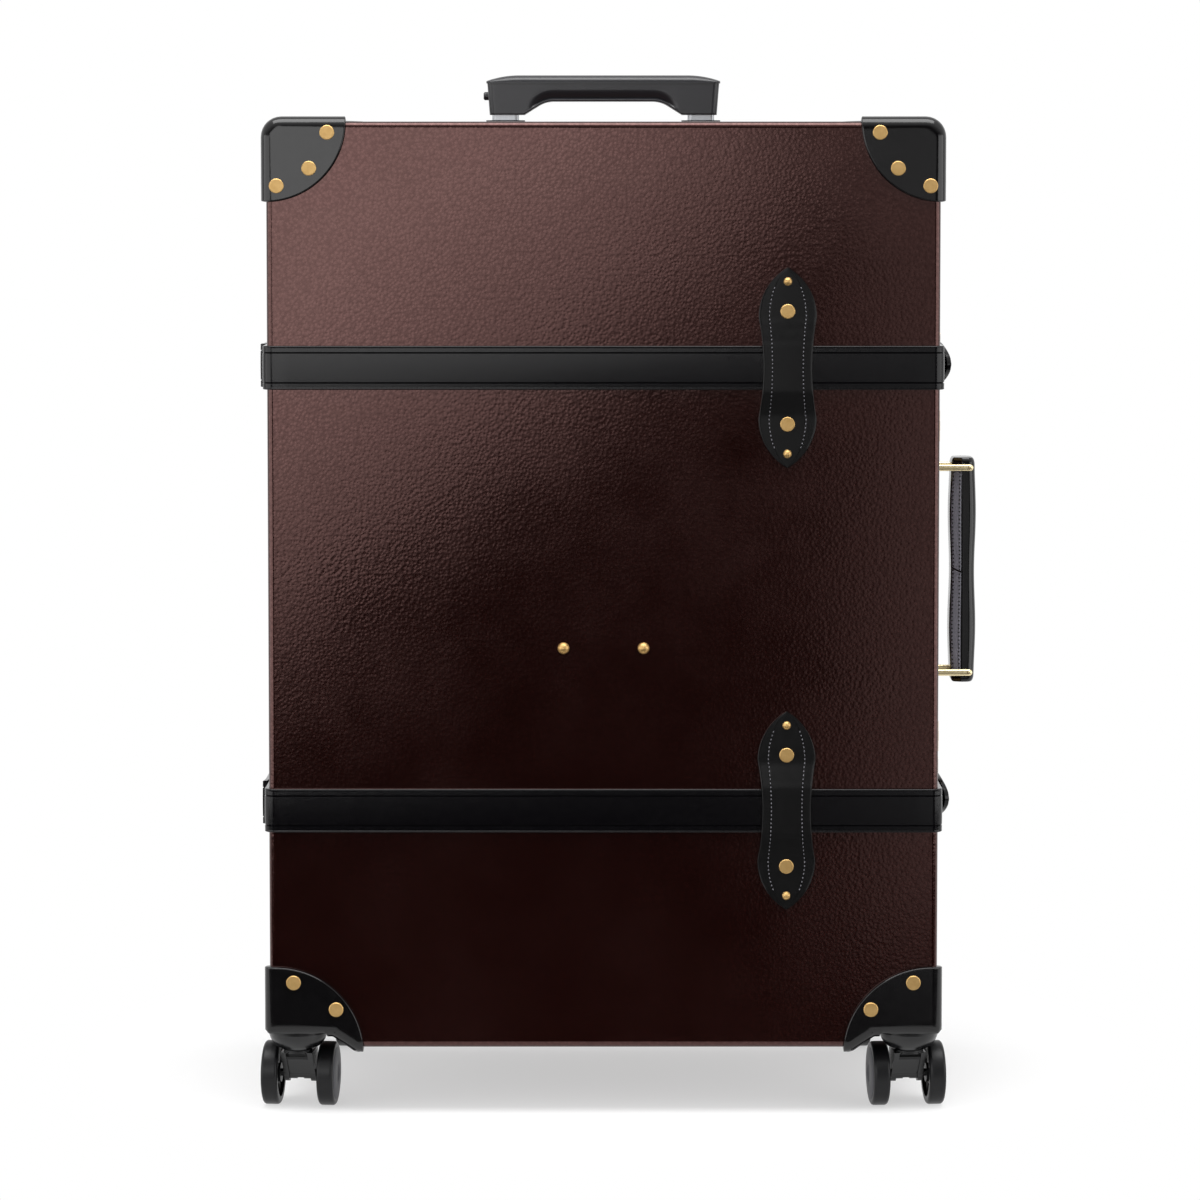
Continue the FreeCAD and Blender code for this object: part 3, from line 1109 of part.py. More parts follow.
ring.Angle = 360
ring.setExpression("Occurrences", "dims.spoke_count")
wheel.Tip = ring
doc.recompute()

for row_name, row in (("front", "-1"), ("rear", "1")):
    for side_name, side in (("left", "-1"), ("right", "1")):
        corner = at(f"{side} * {CASTER_X}", f"{row} * {CASTER_Y}", "0",
                    Rotation(UPRIGHT, value(f"{side} * dims.caster_toe")))
        pieces = [part.Shape.Solids[0].copy() for part in (fork, axle)]
        for piece in pieces:
            piece.Placement = corner.multiply(piece.Placement)
        shaped(f"{row_name}_{side_name}_caster_fork", Part.makeCompound(pieces))
        for hand, way, turn in (("a", "-1", 180), ("b", "1", 0)):
            hub_spot = at(f"{way} * dims.wheel_gap / 2", "dims.caster_trail", AXLE_Z, Rotation(UPRIGHT, turn))
            copies(f"{row_name}_{side_name}_wheel_{hand}", wheel, [corner.multiply(hub_spot)])

# Every feature has to be sound before the solids are written
doc.recompute()
for obj in doc.Objects:
    if "Invalid" in obj.State or "Error" in obj.State:
        raise RuntimeError(f"{obj.Label} failed: {obj.State}")
for obj in nodes:
    if obj.Shape.isNull() or not obj.Shape.isValid() or not obj.Shape.Solids:
        raise RuntimeError(f"{obj.Label} has no sound solid")

os.makedirs("parts", exist_ok=True)
for obj in nodes:
    obj.Shape.exportStep(f"parts/{obj.Label}.step")
print(len(nodes), "sub-parts")
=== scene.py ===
import bmesh
import bpy
import numpy as np
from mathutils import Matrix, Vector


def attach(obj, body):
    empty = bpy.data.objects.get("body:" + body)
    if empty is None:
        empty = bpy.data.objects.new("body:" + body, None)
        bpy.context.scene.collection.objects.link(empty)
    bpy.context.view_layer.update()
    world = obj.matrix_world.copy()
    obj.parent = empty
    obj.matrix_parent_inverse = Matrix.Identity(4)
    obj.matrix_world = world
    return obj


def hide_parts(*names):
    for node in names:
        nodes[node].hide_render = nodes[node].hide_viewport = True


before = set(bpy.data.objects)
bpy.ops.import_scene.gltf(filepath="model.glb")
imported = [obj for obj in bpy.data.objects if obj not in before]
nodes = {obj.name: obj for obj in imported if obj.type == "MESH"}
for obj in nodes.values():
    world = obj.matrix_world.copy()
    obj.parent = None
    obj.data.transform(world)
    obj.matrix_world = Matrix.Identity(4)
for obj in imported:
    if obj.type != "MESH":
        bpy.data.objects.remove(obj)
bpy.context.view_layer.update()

# Fibre shells
# Lid and base are trays of vulcanised fibre board, pressed to shape and folded at the edges.
# The board is dyed through in oxblood, pebbled by the press, and waxed to a low shine.
mm = 0.001


def linear(colour):
    """Hex colour made linear: c / 12.92 near black, else ((c + 0.055) / 1.055) to the power 2.4."""
    srgb = np.array([int(colour[place:place + 2], 16) for place in (1, 3, 5)]) / 255
    return (*np.where(srgb <= 0.04045, srgb / 12.92, ((srgb + 0.055) / 1.055) ** 2.4), 1.0)


def add(tree, kind, inputs, **settings):
    """Adds one node; an input takes a number, a colour or another node's output."""
    item = tree.nodes.new("ShaderNode" + kind)
    for name, setting in settings.items():
        setattr(item, name, setting)
    for name, source in inputs.items():
        if isinstance(source, bpy.types.NodeSocket):
            tree.links.new(source, item.inputs[name])
        else:
            item.inputs[name].default_value = source
    return item


def new_finish(name, sockets):
    """A material with its tree, its shader with these fixed values, and the Object coordinates."""
    material = bpy.data.materials.new(name)
    material.use_nodes = True
    tree = material.node_tree
    shader = tree.nodes["Principled BSDF"]
    for socket, setting in sockets.items():
        shader.inputs[socket].default_value = setting
    return material, tree, shader, add(tree, "TexCoord", {}).outputs["Object"]


def surface(tree, shader, tone=None, gloss=None, bump=None):
    """Patterns drive the shader: tone mixes two colours, gloss spans a roughness, bump is a relief."""
    if tone:
        fac, dark, light = tone
        mix = add(tree, "Mix", {0: fac, 6: linear(dark), 7: linear(light)}, data_type="RGBA")
        tree.links.new(mix.outputs[2], shader.inputs["Base Color"])
    if gloss:
        fac, least, most, *ends = gloss
        low, high = ends or (0, 1)
        span = add(tree, "MapRange", {"Value": fac, "From Min": low, "From Max": high,
                                      "To Min": least, "To Max": most})
        tree.links.new(span.outputs[0], shader.inputs["Roughness"])
    if bump:
        height, strength, depth = bump
        relief = add(tree, "Bump", {"Height": height, "Strength": strength, "Distance": depth})
        tree.links.new(relief.outputs[0], shader.inputs["Normal"])


def dress(finish, *names):
    """Gives CAD nodes one finish."""
    for name in names:
        nodes[name].data.materials.clear()
        nodes[name].data.materials.append(finish)


# waxed vulcanised fibre: dark, cloudy dye under a pebbled skin whose small facets catch the light
# its pits shine less, and their colour is darkened as painted shade; the plain tint stands in where a
# model has no map for it
PEBBLE = 2.6 * mm
WRINKLE = 1.1 * mm
CLOUD = 90 * mm
fibre, tree, shader, place = new_finish("vulcanised_fibre", {"IOR": 1.5, "Specular IOR Level": 1.0,
                                                             "Specular Tint": linear("#f0bab4")})
warp = add(tree, "TexNoise", {"Vector": place, "Scale": 1 / (4 * PEBBLE), "Detail": 2.0})
bent = add(tree, "VectorMath", {0: warp.outputs["Color"], 1: (0.5 * PEBBLE,) * 3, 2: place},
           operation="MULTIPLY_ADD")
pebbles = add(tree, "TexVoronoi", {"Vector": bent.outputs[0], "Scale": 1 / PEBBLE, "Smoothness": 0.6},
              feature="SMOOTH_F1")
wrinkles = add(tree, "TexNoise", {"Vector": place, "Scale": 1 / WRINKLE, "Detail": 2.0})
relief = add(tree, "Math", {0: wrinkles.outputs["Fac"], 1: 0.35, 2: pebbles.outputs["Distance"]},
             operation="MULTIPLY_ADD")
clouds = add(tree, "TexNoise", {"Vector": place, "Scale": 1 / CLOUD, "Detail": 4.0, "Roughness": 0.6})
dye = add(tree, "Mix", {0: clouds.outputs["Fac"], 6: linear("#110302"), 7: linear("#180504")},
          data_type="RGBA")
# painted shade: the base colour darkens towards #0b0202 in the pebbles' pits
pit_shade = add(tree, "MapRange", {"Value": pebbles.outputs["Distance"], "From Min": 0.35,
                                "From Max": 0.75, "To Min": 0.0, "To Max": 0.35})
skin = add(tree, "Mix", {0: pit_shade.outputs[0], 6: dye.outputs[2], 7: linear("#0b0202")},
           data_type="RGBA")
grain = add(tree, "Math", {0: wrinkles.outputs["Fac"], 1: 0.8, 2: pebbles.outputs["Distance"]},
            operation="MULTIPLY_ADD")
pits = add(tree, "MapRange", {"Value": grain.outputs[0], "From Min": 0.55, "From Max": 1.05})
shine = add(tree, "Mix", {0: pits.outputs[0], 6: linear("#ffc6bf"), 7: linear("#dfada7")},
            data_type="RGBA")
tree.links.new(skin.outputs[2], shader.inputs["Base Color"])
tree.links.new(shine.outputs[2], shader.inputs["Specular Tint"])
surface(tree, shader, gloss=(clouds.outputs["Fac"], 0.1, 0.16, 0.3, 0.7),
        bump=(relief.outputs[0], 0.32, 0.13 * mm))
dress(fibre, "lid_shell", "base_shell")

# Rims
# A steamed beech band is glued and pinned inside each half; the base's one stands into the lid.
# It is planed and oiled, with fine dark flecks along the grain.
GRAIN = 1.6 * mm
FLECK = 9 * mm
beech, tree, shader, place = new_finish("oiled_beech", {"Roughness": 0.5, "IOR": 1.5})
along = add(tree, "Mapping", {"Vector": place, "Scale": (1 / FLECK, 1 / GRAIN, 1 / FLECK)})
fibres = add(tree, "TexNoise", {"Vector": along.outputs[0], "Scale": 1.0, "Detail": 5.0,
                                "Roughness": 0.6})
surface(tree, shader, (fibres.outputs["Fac"], "#7d5430", "#b98a58"),
        bump=(fibres.outputs["Fac"], 0.3, 0.1 * mm))
dress(beech, "lid_rim", "base_rim")

# Linings
# Thin boards covered with plain-woven cotton are pushed into both halves and held by the rims.
# The thread is drawn coarser than the real 0.5 mm so that the weave still shows.
THREAD = 1.4 * mm
SLUB = 12 * mm
cotton, tree, shader, place = new_finish("woven_cotton", {"Roughness": 0.9, "Specular IOR Level": 0.2,
                                                          "Sheen Weight": 0.3, "Sheen Roughness": 0.5})
across = add(tree, "SeparateXYZ", {"Vector": place})
sum_xy = add(tree, "Math", {0: across.outputs["X"], 1: across.outputs["Y"]}, operation="ADD")
warp_wave = add(tree, "Math", {0: add(tree, "Math", {0: sum_xy.outputs[0], 1: 2 * np.pi / THREAD},
                                      operation="MULTIPLY").outputs[0]}, operation="SINE")
weft_wave = add(tree, "Math", {0: add(tree, "Math", {0: across.outputs["Z"], 1: 2 * np.pi / THREAD},
                                      operation="MULTIPLY").outputs[0]}, operation="SINE")
weave = add(tree, "Math", {0: warp_wave.outputs[0], 1: weft_wave.outputs[0]}, operation="MULTIPLY")
slub = add(tree, "TexNoise", {"Vector": place, "Scale": 1 / SLUB, "Detail": 3.0})
surface(tree, shader, (slub.outputs["Fac"], "#8d7b63", "#b3a285"),
        bump=(weave.outputs[0], 0.5, 0.15 * mm))
dress(cotton, "lid_lining", "base_lining")

# Leather corners
# Thick vegetable-tanned hide, wetted and moulded over each corner of the shell, 4 mm thick.
# Its edge is rubbed round; the bottom ones end along the channels and turn under beside them.
CASE_HALF = 260 * mm
CASE_DEEP = 140 * mm
CASE_FOOT = 52 * mm
CASE_TOP = 772 * mm
CHANNEL = 63.5 * mm
CHANNEL_IN = 210 * mm
FOOT_IN = 192 * mm
CORNER_ROUND = 12 * mm
FOOT_ROUND = 3 * mm
EDGE_ROUND = 5 * mm
PROBE = 0.02 * mm
WALKS = 8
WELD = 0.001 * mm
SHARP = np.radians(50)


def soft_max(a, b):
    """Distance of two slopes that meet: along the diagonal outside, the larger one inside."""
    return np.hypot(np.maximum(a, 0), np.maximum(b, 0)) + np.minimum(np.maximum(a, b), 0)


def shell_distance(points):
    """Distance to the shell: a round-cornered rectangle joined with the sloping foot, its rims rounded.

    Below, the corners are nearly square, because the hide is pressed straight down there.
    """
    x, y, z = np.abs(points[..., 0]), np.abs(points[..., 1]), points[..., 2]
    middle = (CASE_TOP + CHANNEL) / 2
    tall = (CASE_TOP - CHANNEL) / 2
    bend = np.where(z > middle, CORNER_ROUND, FOOT_ROUND)
    body = soft_max(x - CASE_HALF + bend, np.abs(z - middle) - tall + bend) - bend
    run, rise = CHANNEL_IN - FOOT_IN, CHANNEL - CASE_FOOT
    slope = ((x - FOOT_IN) * rise - (z - CASE_FOOT) * run) / np.hypot(run, rise)
    foot = np.maximum.reduce([slope, CASE_FOOT - z, x - CHANNEL_IN, z - middle])
    outline = np.minimum(body, foot)
    return soft_max(outline + EDGE_ROUND, y - CASE_DEEP + EDGE_ROUND) - EDGE_ROUND


def lay_on_shell(points, height):
    """Walks points up or down the slope of the distance until they lie that high above the shell."""
    for _ in range(WALKS):
        steps = np.eye(3) * PROBE
        slope = np.stack([shell_distance(points + step) - shell_distance(points - step)
                          for step in steps], -1)
        slope = slope / np.maximum(np.linalg.norm(slope, axis=-1, keepdims=True), 1e-12)
        points = points - (shell_distance(points) - height)[..., None] * slope
    return points


def piece(name, grids, finish, slot, body, *replaced):
    """Mesh of grids of points: rows along the piece, closed rings across it, and both ends closed."""
    grids = np.asarray(grids)
    count, rows, around = grids.shape[:3]
    index = np.arange(count * rows * around).reshape(count, rows, around)
    ring = np.concatenate([index, index[..., :1]], axis=2)
    quads = np.stack([ring[:, :-1, :-1], ring[:, 1:, :-1], ring[:, 1:, 1:], ring[:, :-1, 1:]], -1)
    ends = index[:, [0, -1]].reshape(-1, around)
    mesh = bpy.data.meshes.new(name)
    mesh.from_pydata(grids.reshape(-1, 3), [], quads.reshape(-1, 4).tolist() + ends.tolist())
    work = bmesh.new()
    work.from_mesh(mesh)
    bmesh.ops.remove_doubles(work, verts=work.verts, dist=WELD)
    bmesh.ops.recalc_face_normals(work, faces=work.faces)
    work.to_mesh(mesh)
    work.free()
    mesh.shade_smooth()
    mesh.set_sharp_from_angle(angle=SHARP)
    mesh.materials.append(finish)
    obj = bpy.data.objects.new(name, mesh)
    bpy.context.scene.collection.objects.link(obj)
    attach(obj, body)
    if replaced:
        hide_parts(*replaced)
    return obj


HIDE = 4 * mm
BURNISH = 1.1 * mm
TOP_REACH = 62 * mm
FOOT_REACH = 69 * mm
FOOT_SHIFT = 4.8 * mm
RETURN = 5.5 * mm
SUNK = 0.3 * mm
HAIR = 0.05 * mm
RIM_SHARE = 0.12
TURN_FROM = 250 * mm
TURN_BACK = 10 * mm


def burnished(edge):
    """Height of the hide: full inside, a quarter circle over the last millimetre to its edge."""
    inside = np.clip(edge / BURNISH, 0, 1)
    return HIDE * np.sqrt(np.maximum(1 - (1 - inside) ** 2, 0))


def top_cap(side, outward):
    """Polar grid round the box's corner, 270 degrees over its three faces, laid on the round shell."""
    turn = np.linspace(0, 3, 145)[:-1]
    face = np.floor(turn).astype(int)
    angle = (turn - face) * np.pi / 2
    first, second = np.cos(angle), np.sin(angle)
    axes = np.array([[0, 1], [1, 2], [2, 0]])[face]
    way = np.zeros((len(turn), 3))
    way[np.arange(len(turn)), axes[:, 0]] = first
    way[np.arange(len(turn)), axes[:, 1]] = second
    rim = RIM_SHARE * np.linspace(1, 0, 18)[1:] ** 1.5
    reach = TOP_REACH - np.concatenate([np.linspace(1, RIM_SHARE, 22), rim]) * TOP_REACH
    corner = np.array([side * CASE_HALF, outward * CASE_DEEP, CASE_TOP])
    inward = way * np.array([-side, -outward, -1])
    flat = corner + reach[:, None, None] * inward[None]
    outer = lay_on_shell(flat, burnished(TOP_REACH - reach)[:, None] * np.ones(len(turn)))
    inner = lay_on_shell(flat[::-1], np.full(flat.shape[:2], -SUNK))
    return np.concatenate([outer, inner])


def foot_cap(side, outward):
    """Sheet round the shell's upright edge: its columns run from under the foot up to the reach."""
    limit = CHANNEL_IN + RETURN
    front = CASE_HALF - FOOT_SHIFT - np.sqrt(FOOT_REACH ** 2 - (FOOT_SHIFT + HAIR) ** 2)
    run = np.concatenate([np.linspace(front, limit - HAIR, 30),
                          np.linspace(limit + HAIR, TURN_FROM, 22),
                          np.linspace(TURN_FROM, CASE_HALF, 12)[1:]])
    deep = np.sqrt(FOOT_REACH ** 2 - FOOT_SHIFT ** 2 - (CHANNEL - CASE_FOOT + FOOT_SHIFT) ** 2) - HAIR
    back = np.concatenate([np.linspace(0, TURN_BACK, 12)[1:], np.linspace(TURN_BACK, deep, 40)[1:]])
    x = np.concatenate([run, np.full(len(back), CASE_HALF)])
    y = np.concatenate([np.zeros(len(run)), back])
    low = CASE_FOOT + (x - FOOT_IN) * (CHANNEL - CASE_FOOT) / (CHANNEL_IN - FOOT_IN)
    low = np.clip(low, CASE_FOOT, CHANNEL)
    off_axis = np.hypot(x - CASE_HALF + FOOT_SHIFT, y)
    high = CASE_FOOT - FOOT_SHIFT + np.sqrt(np.maximum(FOOT_REACH ** 2 - off_axis ** 2, 0))
    share = np.concatenate([np.linspace(0, 0.8, 16), 1 - 0.2 * np.linspace(1, 0, 14)[1:] ** 1.6])
    tuck = 1 - np.linspace(0, 1, 12) ** 1.6
    under = np.concatenate([tuck, np.zeros(len(share) - 1)])
    rise = np.concatenate([np.zeros(len(tuck) - 1), share])
    drop = np.sqrt(np.maximum(FOOT_REACH ** 2 - off_axis ** 2 - (low - CASE_FOOT + FOOT_SHIFT) ** 2, 0))
    drop = np.where(x < limit, drop, 0)
    z = low[:, None] + rise * np.maximum(high - low, 0)[:, None]
    inward = y[:, None] + under * drop[:, None]
    flat = np.stack(np.broadcast_arrays(side * x[:, None], outward * (CASE_DEEP - inward), z), -1)
    off_ball = np.sqrt((x[:, None] - CASE_HALF + FOOT_SHIFT) ** 2 + inward ** 2
                       + (z - CASE_FOOT + FOOT_SHIFT) ** 2)
    outer = lay_on_shell(flat, burnished(FOOT_REACH - off_ball))
    inner = lay_on_shell(flat, np.full(z.shape, -SUNK))
    lowest = np.where(x < limit, 0, CHANNEL)[:, None]
    outer = np.concatenate([outer[..., :2], np.maximum(outer[..., 2], lowest)[..., None]], -1)
    return np.concatenate([outer, inner[:, ::-1]], axis=1)


# moulded hide: nearly smooth, black through, with a soft wax shine and faint pores
PORE = 0.9 * mm
CREASE = 7 * mm
moulded, tree, shader, place = new_finish("moulded_hide", {"IOR": 1.5, "Specular IOR Level": 0.45})
pores = add(tree, "TexVoronoi", {"Vector": place, "Scale": 1 / PORE}, feature="F1")
creases = add(tree, "TexNoise", {"Vector": place, "Scale": 1 / CREASE, "Detail": 5.0,
                                 "Roughness": 0.65})
relief = add(tree, "Math", {0: pores.outputs["Distance"], 1: 0.3, 2: creases.outputs["Fac"]},
             operation="MULTIPLY_ADD")
surface(tree, shader, (creases.outputs["Fac"], "#050405", "#0b0a0b"),
        gloss=(creases.outputs["Fac"], 0.12, 0.17, 0.3, 0.7), bump=(relief.outputs[0], 0.15, 0.1 * mm))
HALVES = (("lid", -1), ("base", 1))
for half, outward in HALVES:
    for name, cap in (("top", top_cap), ("foot", foot_cap)):
        piece(f"{half}_{name}_corners", [cap(side, outward) for side in (-1, 1)], moulded, "leather",
              half, half + "_corners")

# Rivets, nails and studs
# Stamped brass heads, clenched through the hide and the board, left unlacquered.
# Handling rubs them unevenly, so bright and dull patches mix with fine scratches.
TARNISH = 5 * mm
SCRATCH = 0.5 * mm
SCRATCH_LONG = 7 * mm
brass, tree, shader, place = new_finish("rubbed_brass", {"Metallic": 1.0})
tarnish = add(tree, "TexNoise", {"Vector": place, "Scale": 1 / TARNISH, "Detail": 5.0,
                                 "Roughness": 0.6})
scratch_way = add(tree, "Mapping", {"Vector": place,
                                    "Scale": (1 / SCRATCH, 1 / SCRATCH, 1 / SCRATCH_LONG)})
scratches = add(tree, "TexNoise", {"Vector": scratch_way.outputs[0], "Scale": 1.0, "Detail": 2.0})
surface(tree, shader, (tarnish.outputs["Fac"], "#bd9558", "#e0bd82"),
        gloss=(scratches.outputs["Fac"], 0.4, 0.55), bump=(scratches.outputs["Fac"], 0.1, 0.05 * mm))
dress(brass, "lid_corner_rivets", "base_corner_rivets", "lid_studs",
      "lid_loop_rivets", "base_loop_rivets")

# Straps
# Two black harness-leather belts run round the case, parted at the lid's edge on both sides.
# Their edges are rounded over and a line is ironed in 5.4 mm from each edge.
STRAP = 34 * mm
STRAP_THICK = 3.5 * mm
STRAP_ROWS = (582.5 * mm, 238.5 * mm)
SPLIT = -40 * mm
STRAP_GAP = 0.25 * mm
STRAP_BEND = 1.2 * mm
STRAP_SWELL = 0.25 * mm
IRONED = 5.4 * mm
IRONED_DEPTH = 0.8 * mm
GROOVE_SHARE = 0.75


def strap_section(width, thick, bend, line, depth, buried=0.2 * mm):
    """Ring of (across, up): flat below, edges rounded over, and a V groove so far inside each edge."""
    half = width / 2
    turn = np.linspace(0, np.pi / 2, 6)
    cut = half - line + GROOVE_SHARE * depth * np.array([-1, 0, 1])
    flat = np.unique(np.concatenate([np.linspace(-half + bend, half - bend, 41), cut, -cut]))
    groove = np.maximum(depth - np.abs(np.abs(flat) - half + line) / GROOVE_SHARE, 0)
    swell = STRAP_SWELL * (1 - (flat / half) ** 2) - STRAP_SWELL
    across = np.concatenate([flat, half - bend + bend * np.sin(turn)[1:], [half], [-half],
                             -half + bend - bend * np.cos(turn)[:-1]])
    up = np.concatenate([thick - groove + swell, thick - bend + bend * np.cos(turn)[1:],
                         [-buried], [-buried], thick - bend + bend * np.sin(turn)[:-1]])
    return across, up


def belt(path, out, section, narrow=None):
    """Section carried along a level path: out is its outward side, narrow the share of width kept."""
    across, up = section
    narrow = np.ones(len(path)) if narrow is None else narrow
    flat = path[:, None, :] + out[:, None, :] * up[None, :, None]
    rise = narrow[:, None] * across
    return np.concatenate([flat, rise[..., None]], -1)


def half_loop(outward):
    """Path of a belt round one half: along a side wall, round an edge, across the face, and back."""
    turn = np.linspace(0, np.pi / 2, 9)
    side = np.linspace(SPLIT + outward * STRAP_GAP, outward * (CASE_DEEP - EDGE_ROUND), 12)[:-1]
    bend_x = CASE_HALF - EDGE_ROUND + EDGE_ROUND * np.cos(turn)
    bend_y = outward * (CASE_DEEP - EDGE_ROUND + EDGE_ROUND * np.sin(turn))
    x = np.concatenate([np.full(len(side), CASE_HALF), bend_x])
    y = np.concatenate([side, bend_y])
    out = np.concatenate([np.tile([1.0, 0], (len(side), 1)),
                          np.stack([np.cos(turn), outward * np.sin(turn)], -1)])
    middle = np.linspace(bend_x[-1], 0, 20)[1:]
    x = np.concatenate([x, middle])
    y = np.concatenate([y, np.full(len(middle), outward * CASE_DEEP)])
    out = np.concatenate([out, np.tile([0, float(outward)], (len(middle), 1))])
    path = np.stack([x, y], -1)
    mirror = np.array([-1, 1])
    return np.concatenate([path, path[-2::-1] * mirror]), np.concatenate([out, out[-2::-1] * mirror])


# grained harness leather: small creased cells, black with a cool cast, waxed
CELL = 1.5 * mm
FOLD = 5 * mm
harness, tree, shader, place = new_finish("harness_leather", {"IOR": 1.5, "Specular IOR Level": 0.3})
cells = add(tree, "TexVoronoi", {"Vector": place, "Scale": 1 / CELL}, feature="DISTANCE_TO_EDGE")
folds = add(tree, "TexNoise", {"Vector": place, "Scale": 1 / FOLD, "Detail": 6.0, "Roughness": 0.7})
lines = add(tree, "MapRange", {"Value": cells.outputs["Distance"], "From Max": 0.12})
relief = add(tree, "Math", {0: lines.outputs[0], 1: 0.5, 2: folds.outputs["Fac"]},
             operation="MULTIPLY_ADD")
surface(tree, shader, (folds.outputs["Fac"], "#030204", "#080709"),
        gloss=(folds.outputs["Fac"], 0.12, 0.17, 0.3, 0.7), bump=(relief.outputs[0], 0.22, 0.12 * mm))
laid_section = strap_section(STRAP, STRAP_THICK, STRAP_BEND, IRONED, IRONED_DEPTH)
free_section = strap_section(STRAP, STRAP_THICK, STRAP_BEND, IRONED, IRONED_DEPTH, 0)
for half, outward in HALVES:
    one = belt(*half_loop(outward), laid_section)
    piece(half + "_belts", [one + (0, 0, row) for row in STRAP_ROWS], harness, "leather",
          half, half + "_straps")

# the second ply on the hinge side stands off a little at its front end
PLY_X = CASE_HALF + STRAP_THICK
PLY_BACK = -45 * mm
PLY_FREE = -75 * mm
PLY_FRONT = -95 * mm
PLY_LIFT = 1.2 * mm
ply_y = np.linspace(PLY_BACK, PLY_FRONT, 26)
lift = PLY_LIFT * np.clip((PLY_FREE - ply_y) / (PLY_FREE - PLY_FRONT), 0, 1) ** 2
ply = belt(np.stack([-PLY_X - lift, ply_y], -1), np.tile([-1.0, 0], (len(ply_y), 1)), free_section)
piece("belt_plies", [ply + (0, 0, row) for row in STRAP_ROWS], harness, "leather", "lid",
      "strap_plies")

# Strap loops
# Waisted leather tabs with pointed ends, sewn round, bent over each belt and riveted to the board.
# A row of waxed dark grey thread runs in a pressed groove at about two thirds of the half width; it is
# coloured lighter grey as a painted highlight.
LOOP_LONG = 155 * mm
LOOP_WIDE = 45 * mm
LOOP_WAIST = 37.5 * mm
LOOP_BULGE = 39 * mm
LOOP_THICK = 2.4 * mm
LOOP_X = 142 * mm
LOOP_BEND = 0.7 * mm
LOOP_GROOVE = 0.3 * mm
LOOP_RAMP = 21 * mm
HUMP = STRAP_THICK + 0.1 * mm
SEWN_SHARE = 0.63
SEWN_REACH = 63 * mm
TAB_FINE = 30 * mm
TAB_POINT = 0.2 * mm


def smooth(share):
    """Smooth step: three times the square less twice the cube, level at 0 and at 1."""
    return share ** 2 * (3 - 2 * share)


def loop_half_width(along):
    """Half width of a tab: a hollow arc at the waist, then from the widest place one to the point."""
    along = np.abs(along)
    dip = (LOOP_WIDE - LOOP_WAIST) / 2
    hollow = (LOOP_BULGE ** 2 + dip ** 2) / (2 * dip)
    point = ((LOOP_WIDE / 2) ** 2 + (LOOP_LONG / 2 - LOOP_BULGE) ** 2) / LOOP_WIDE
    waist = LOOP_WAIST / 2 + hollow - np.sqrt(np.maximum(hollow ** 2 - along ** 2, 0))
    tip = LOOP_WIDE / 2 - point + np.sqrt(np.maximum(point ** 2 - (along - LOOP_BULGE) ** 2, 0))
    return np.where(along < LOOP_BULGE, waist, tip)


def loop_lift(along):
    """Underside of a tab above the board: flat, a smooth ramp beside the belt, level over the belt."""
    ramp = np.clip((STRAP / 2 + LOOP_RAMP - np.abs(along)) / LOOP_RAMP, 0, 1)
    return HUMP * smooth(ramp)


def loop_tab():
    """Section of a tab carried along its length, as wide as the outline there."""
    turn = np.linspace(-np.pi / 2, np.pi / 2, 81)
    along = LOOP_LONG / 2 * np.sin(turn) * 0.9999
    along = np.unique(np.concatenate([along, np.linspace(-TAB_FINE, TAB_FINE, 41)]))
    sewn_in = (1 - SEWN_SHARE) * LOOP_WAIST / 2
    across, up = strap_section(LOOP_WAIST, LOOP_THICK, LOOP_BEND, sewn_in, LOOP_GROOVE)
    share = across / (LOOP_WAIST / 2)
    half = np.maximum(loop_half_width(along), TAB_POINT)
    x = half[:, None] * share
    y = -loop_lift(along)[:, None] - up[None]
    return np.stack(np.broadcast_arrays(x, y, along[:, None]), -1)


STITCH = 3.1 * mm
THREAD_WIDE = 0.9 * mm
THREAD_BOW = 0.35 * mm
THREAD_DIP = 0.75
THREAD_END = 0.35
THREAD_SHOWN = (0.25, 0.75)


def stitches(line, out, wide=THREAD_WIDE):
    """Threads end to end along a line: slim bent spindles that dip into the leather at their ends."""
    step = np.linalg.norm(np.diff(line, axis=0), axis=1)
    reach = np.concatenate([[0], np.cumsum(step)])
    count = int(reach[-1] / STITCH)
    share = (np.arange(count)[:, None] + np.linspace(*THREAD_SHOWN, 7)) / count * reach[-1]
    spots = np.stack([np.interp(share, reach, line[:, axis]) for axis in range(3)], -1)
    normal = np.stack([np.interp(share, reach, out[:, axis]) for axis in range(3)], -1)
    ahead = np.gradient(spots, axis=1)
    ahead = ahead / np.linalg.norm(ahead, axis=-1, keepdims=True)
    beside = np.cross(ahead, normal)
    bow = np.sin(np.linspace(0, np.pi, 7))
    turn = np.linspace(0, 2 * np.pi, 7)[:-1]
    thick = wide / 2 * (THREAD_END + (1 - THREAD_END) * bow)
    spots = spots + normal * ((bow - THREAD_DIP) * THREAD_BOW)[None, :, None]
    return (spots[:, :, None] + thick[None, :, None, None]
            * (np.cos(turn)[None, None, :, None] * beside[:, :, None]
               + np.sin(turn)[None, None, :, None] * normal[:, :, None]))


# waxed linen thread: dark grey and twisted, coloured lighter grey as a painted highlight for its glints
STRAND = 0.6 * mm
# painted highlight: the thread's light grey stands in for glints on dark thread
thread, tree, shader, place = new_finish("waxed_thread_painted_glints", {"Roughness": 0.4})
strands = add(tree, "TexNoise", {"Vector": place, "Scale": 1 / STRAND, "Detail": 2.0})
surface(tree, shader, (strands.outputs["Fac"], "#4c4b50", "#7d7c82"),
        bump=(strands.outputs["Fac"], 0.4, 0.1 * mm))

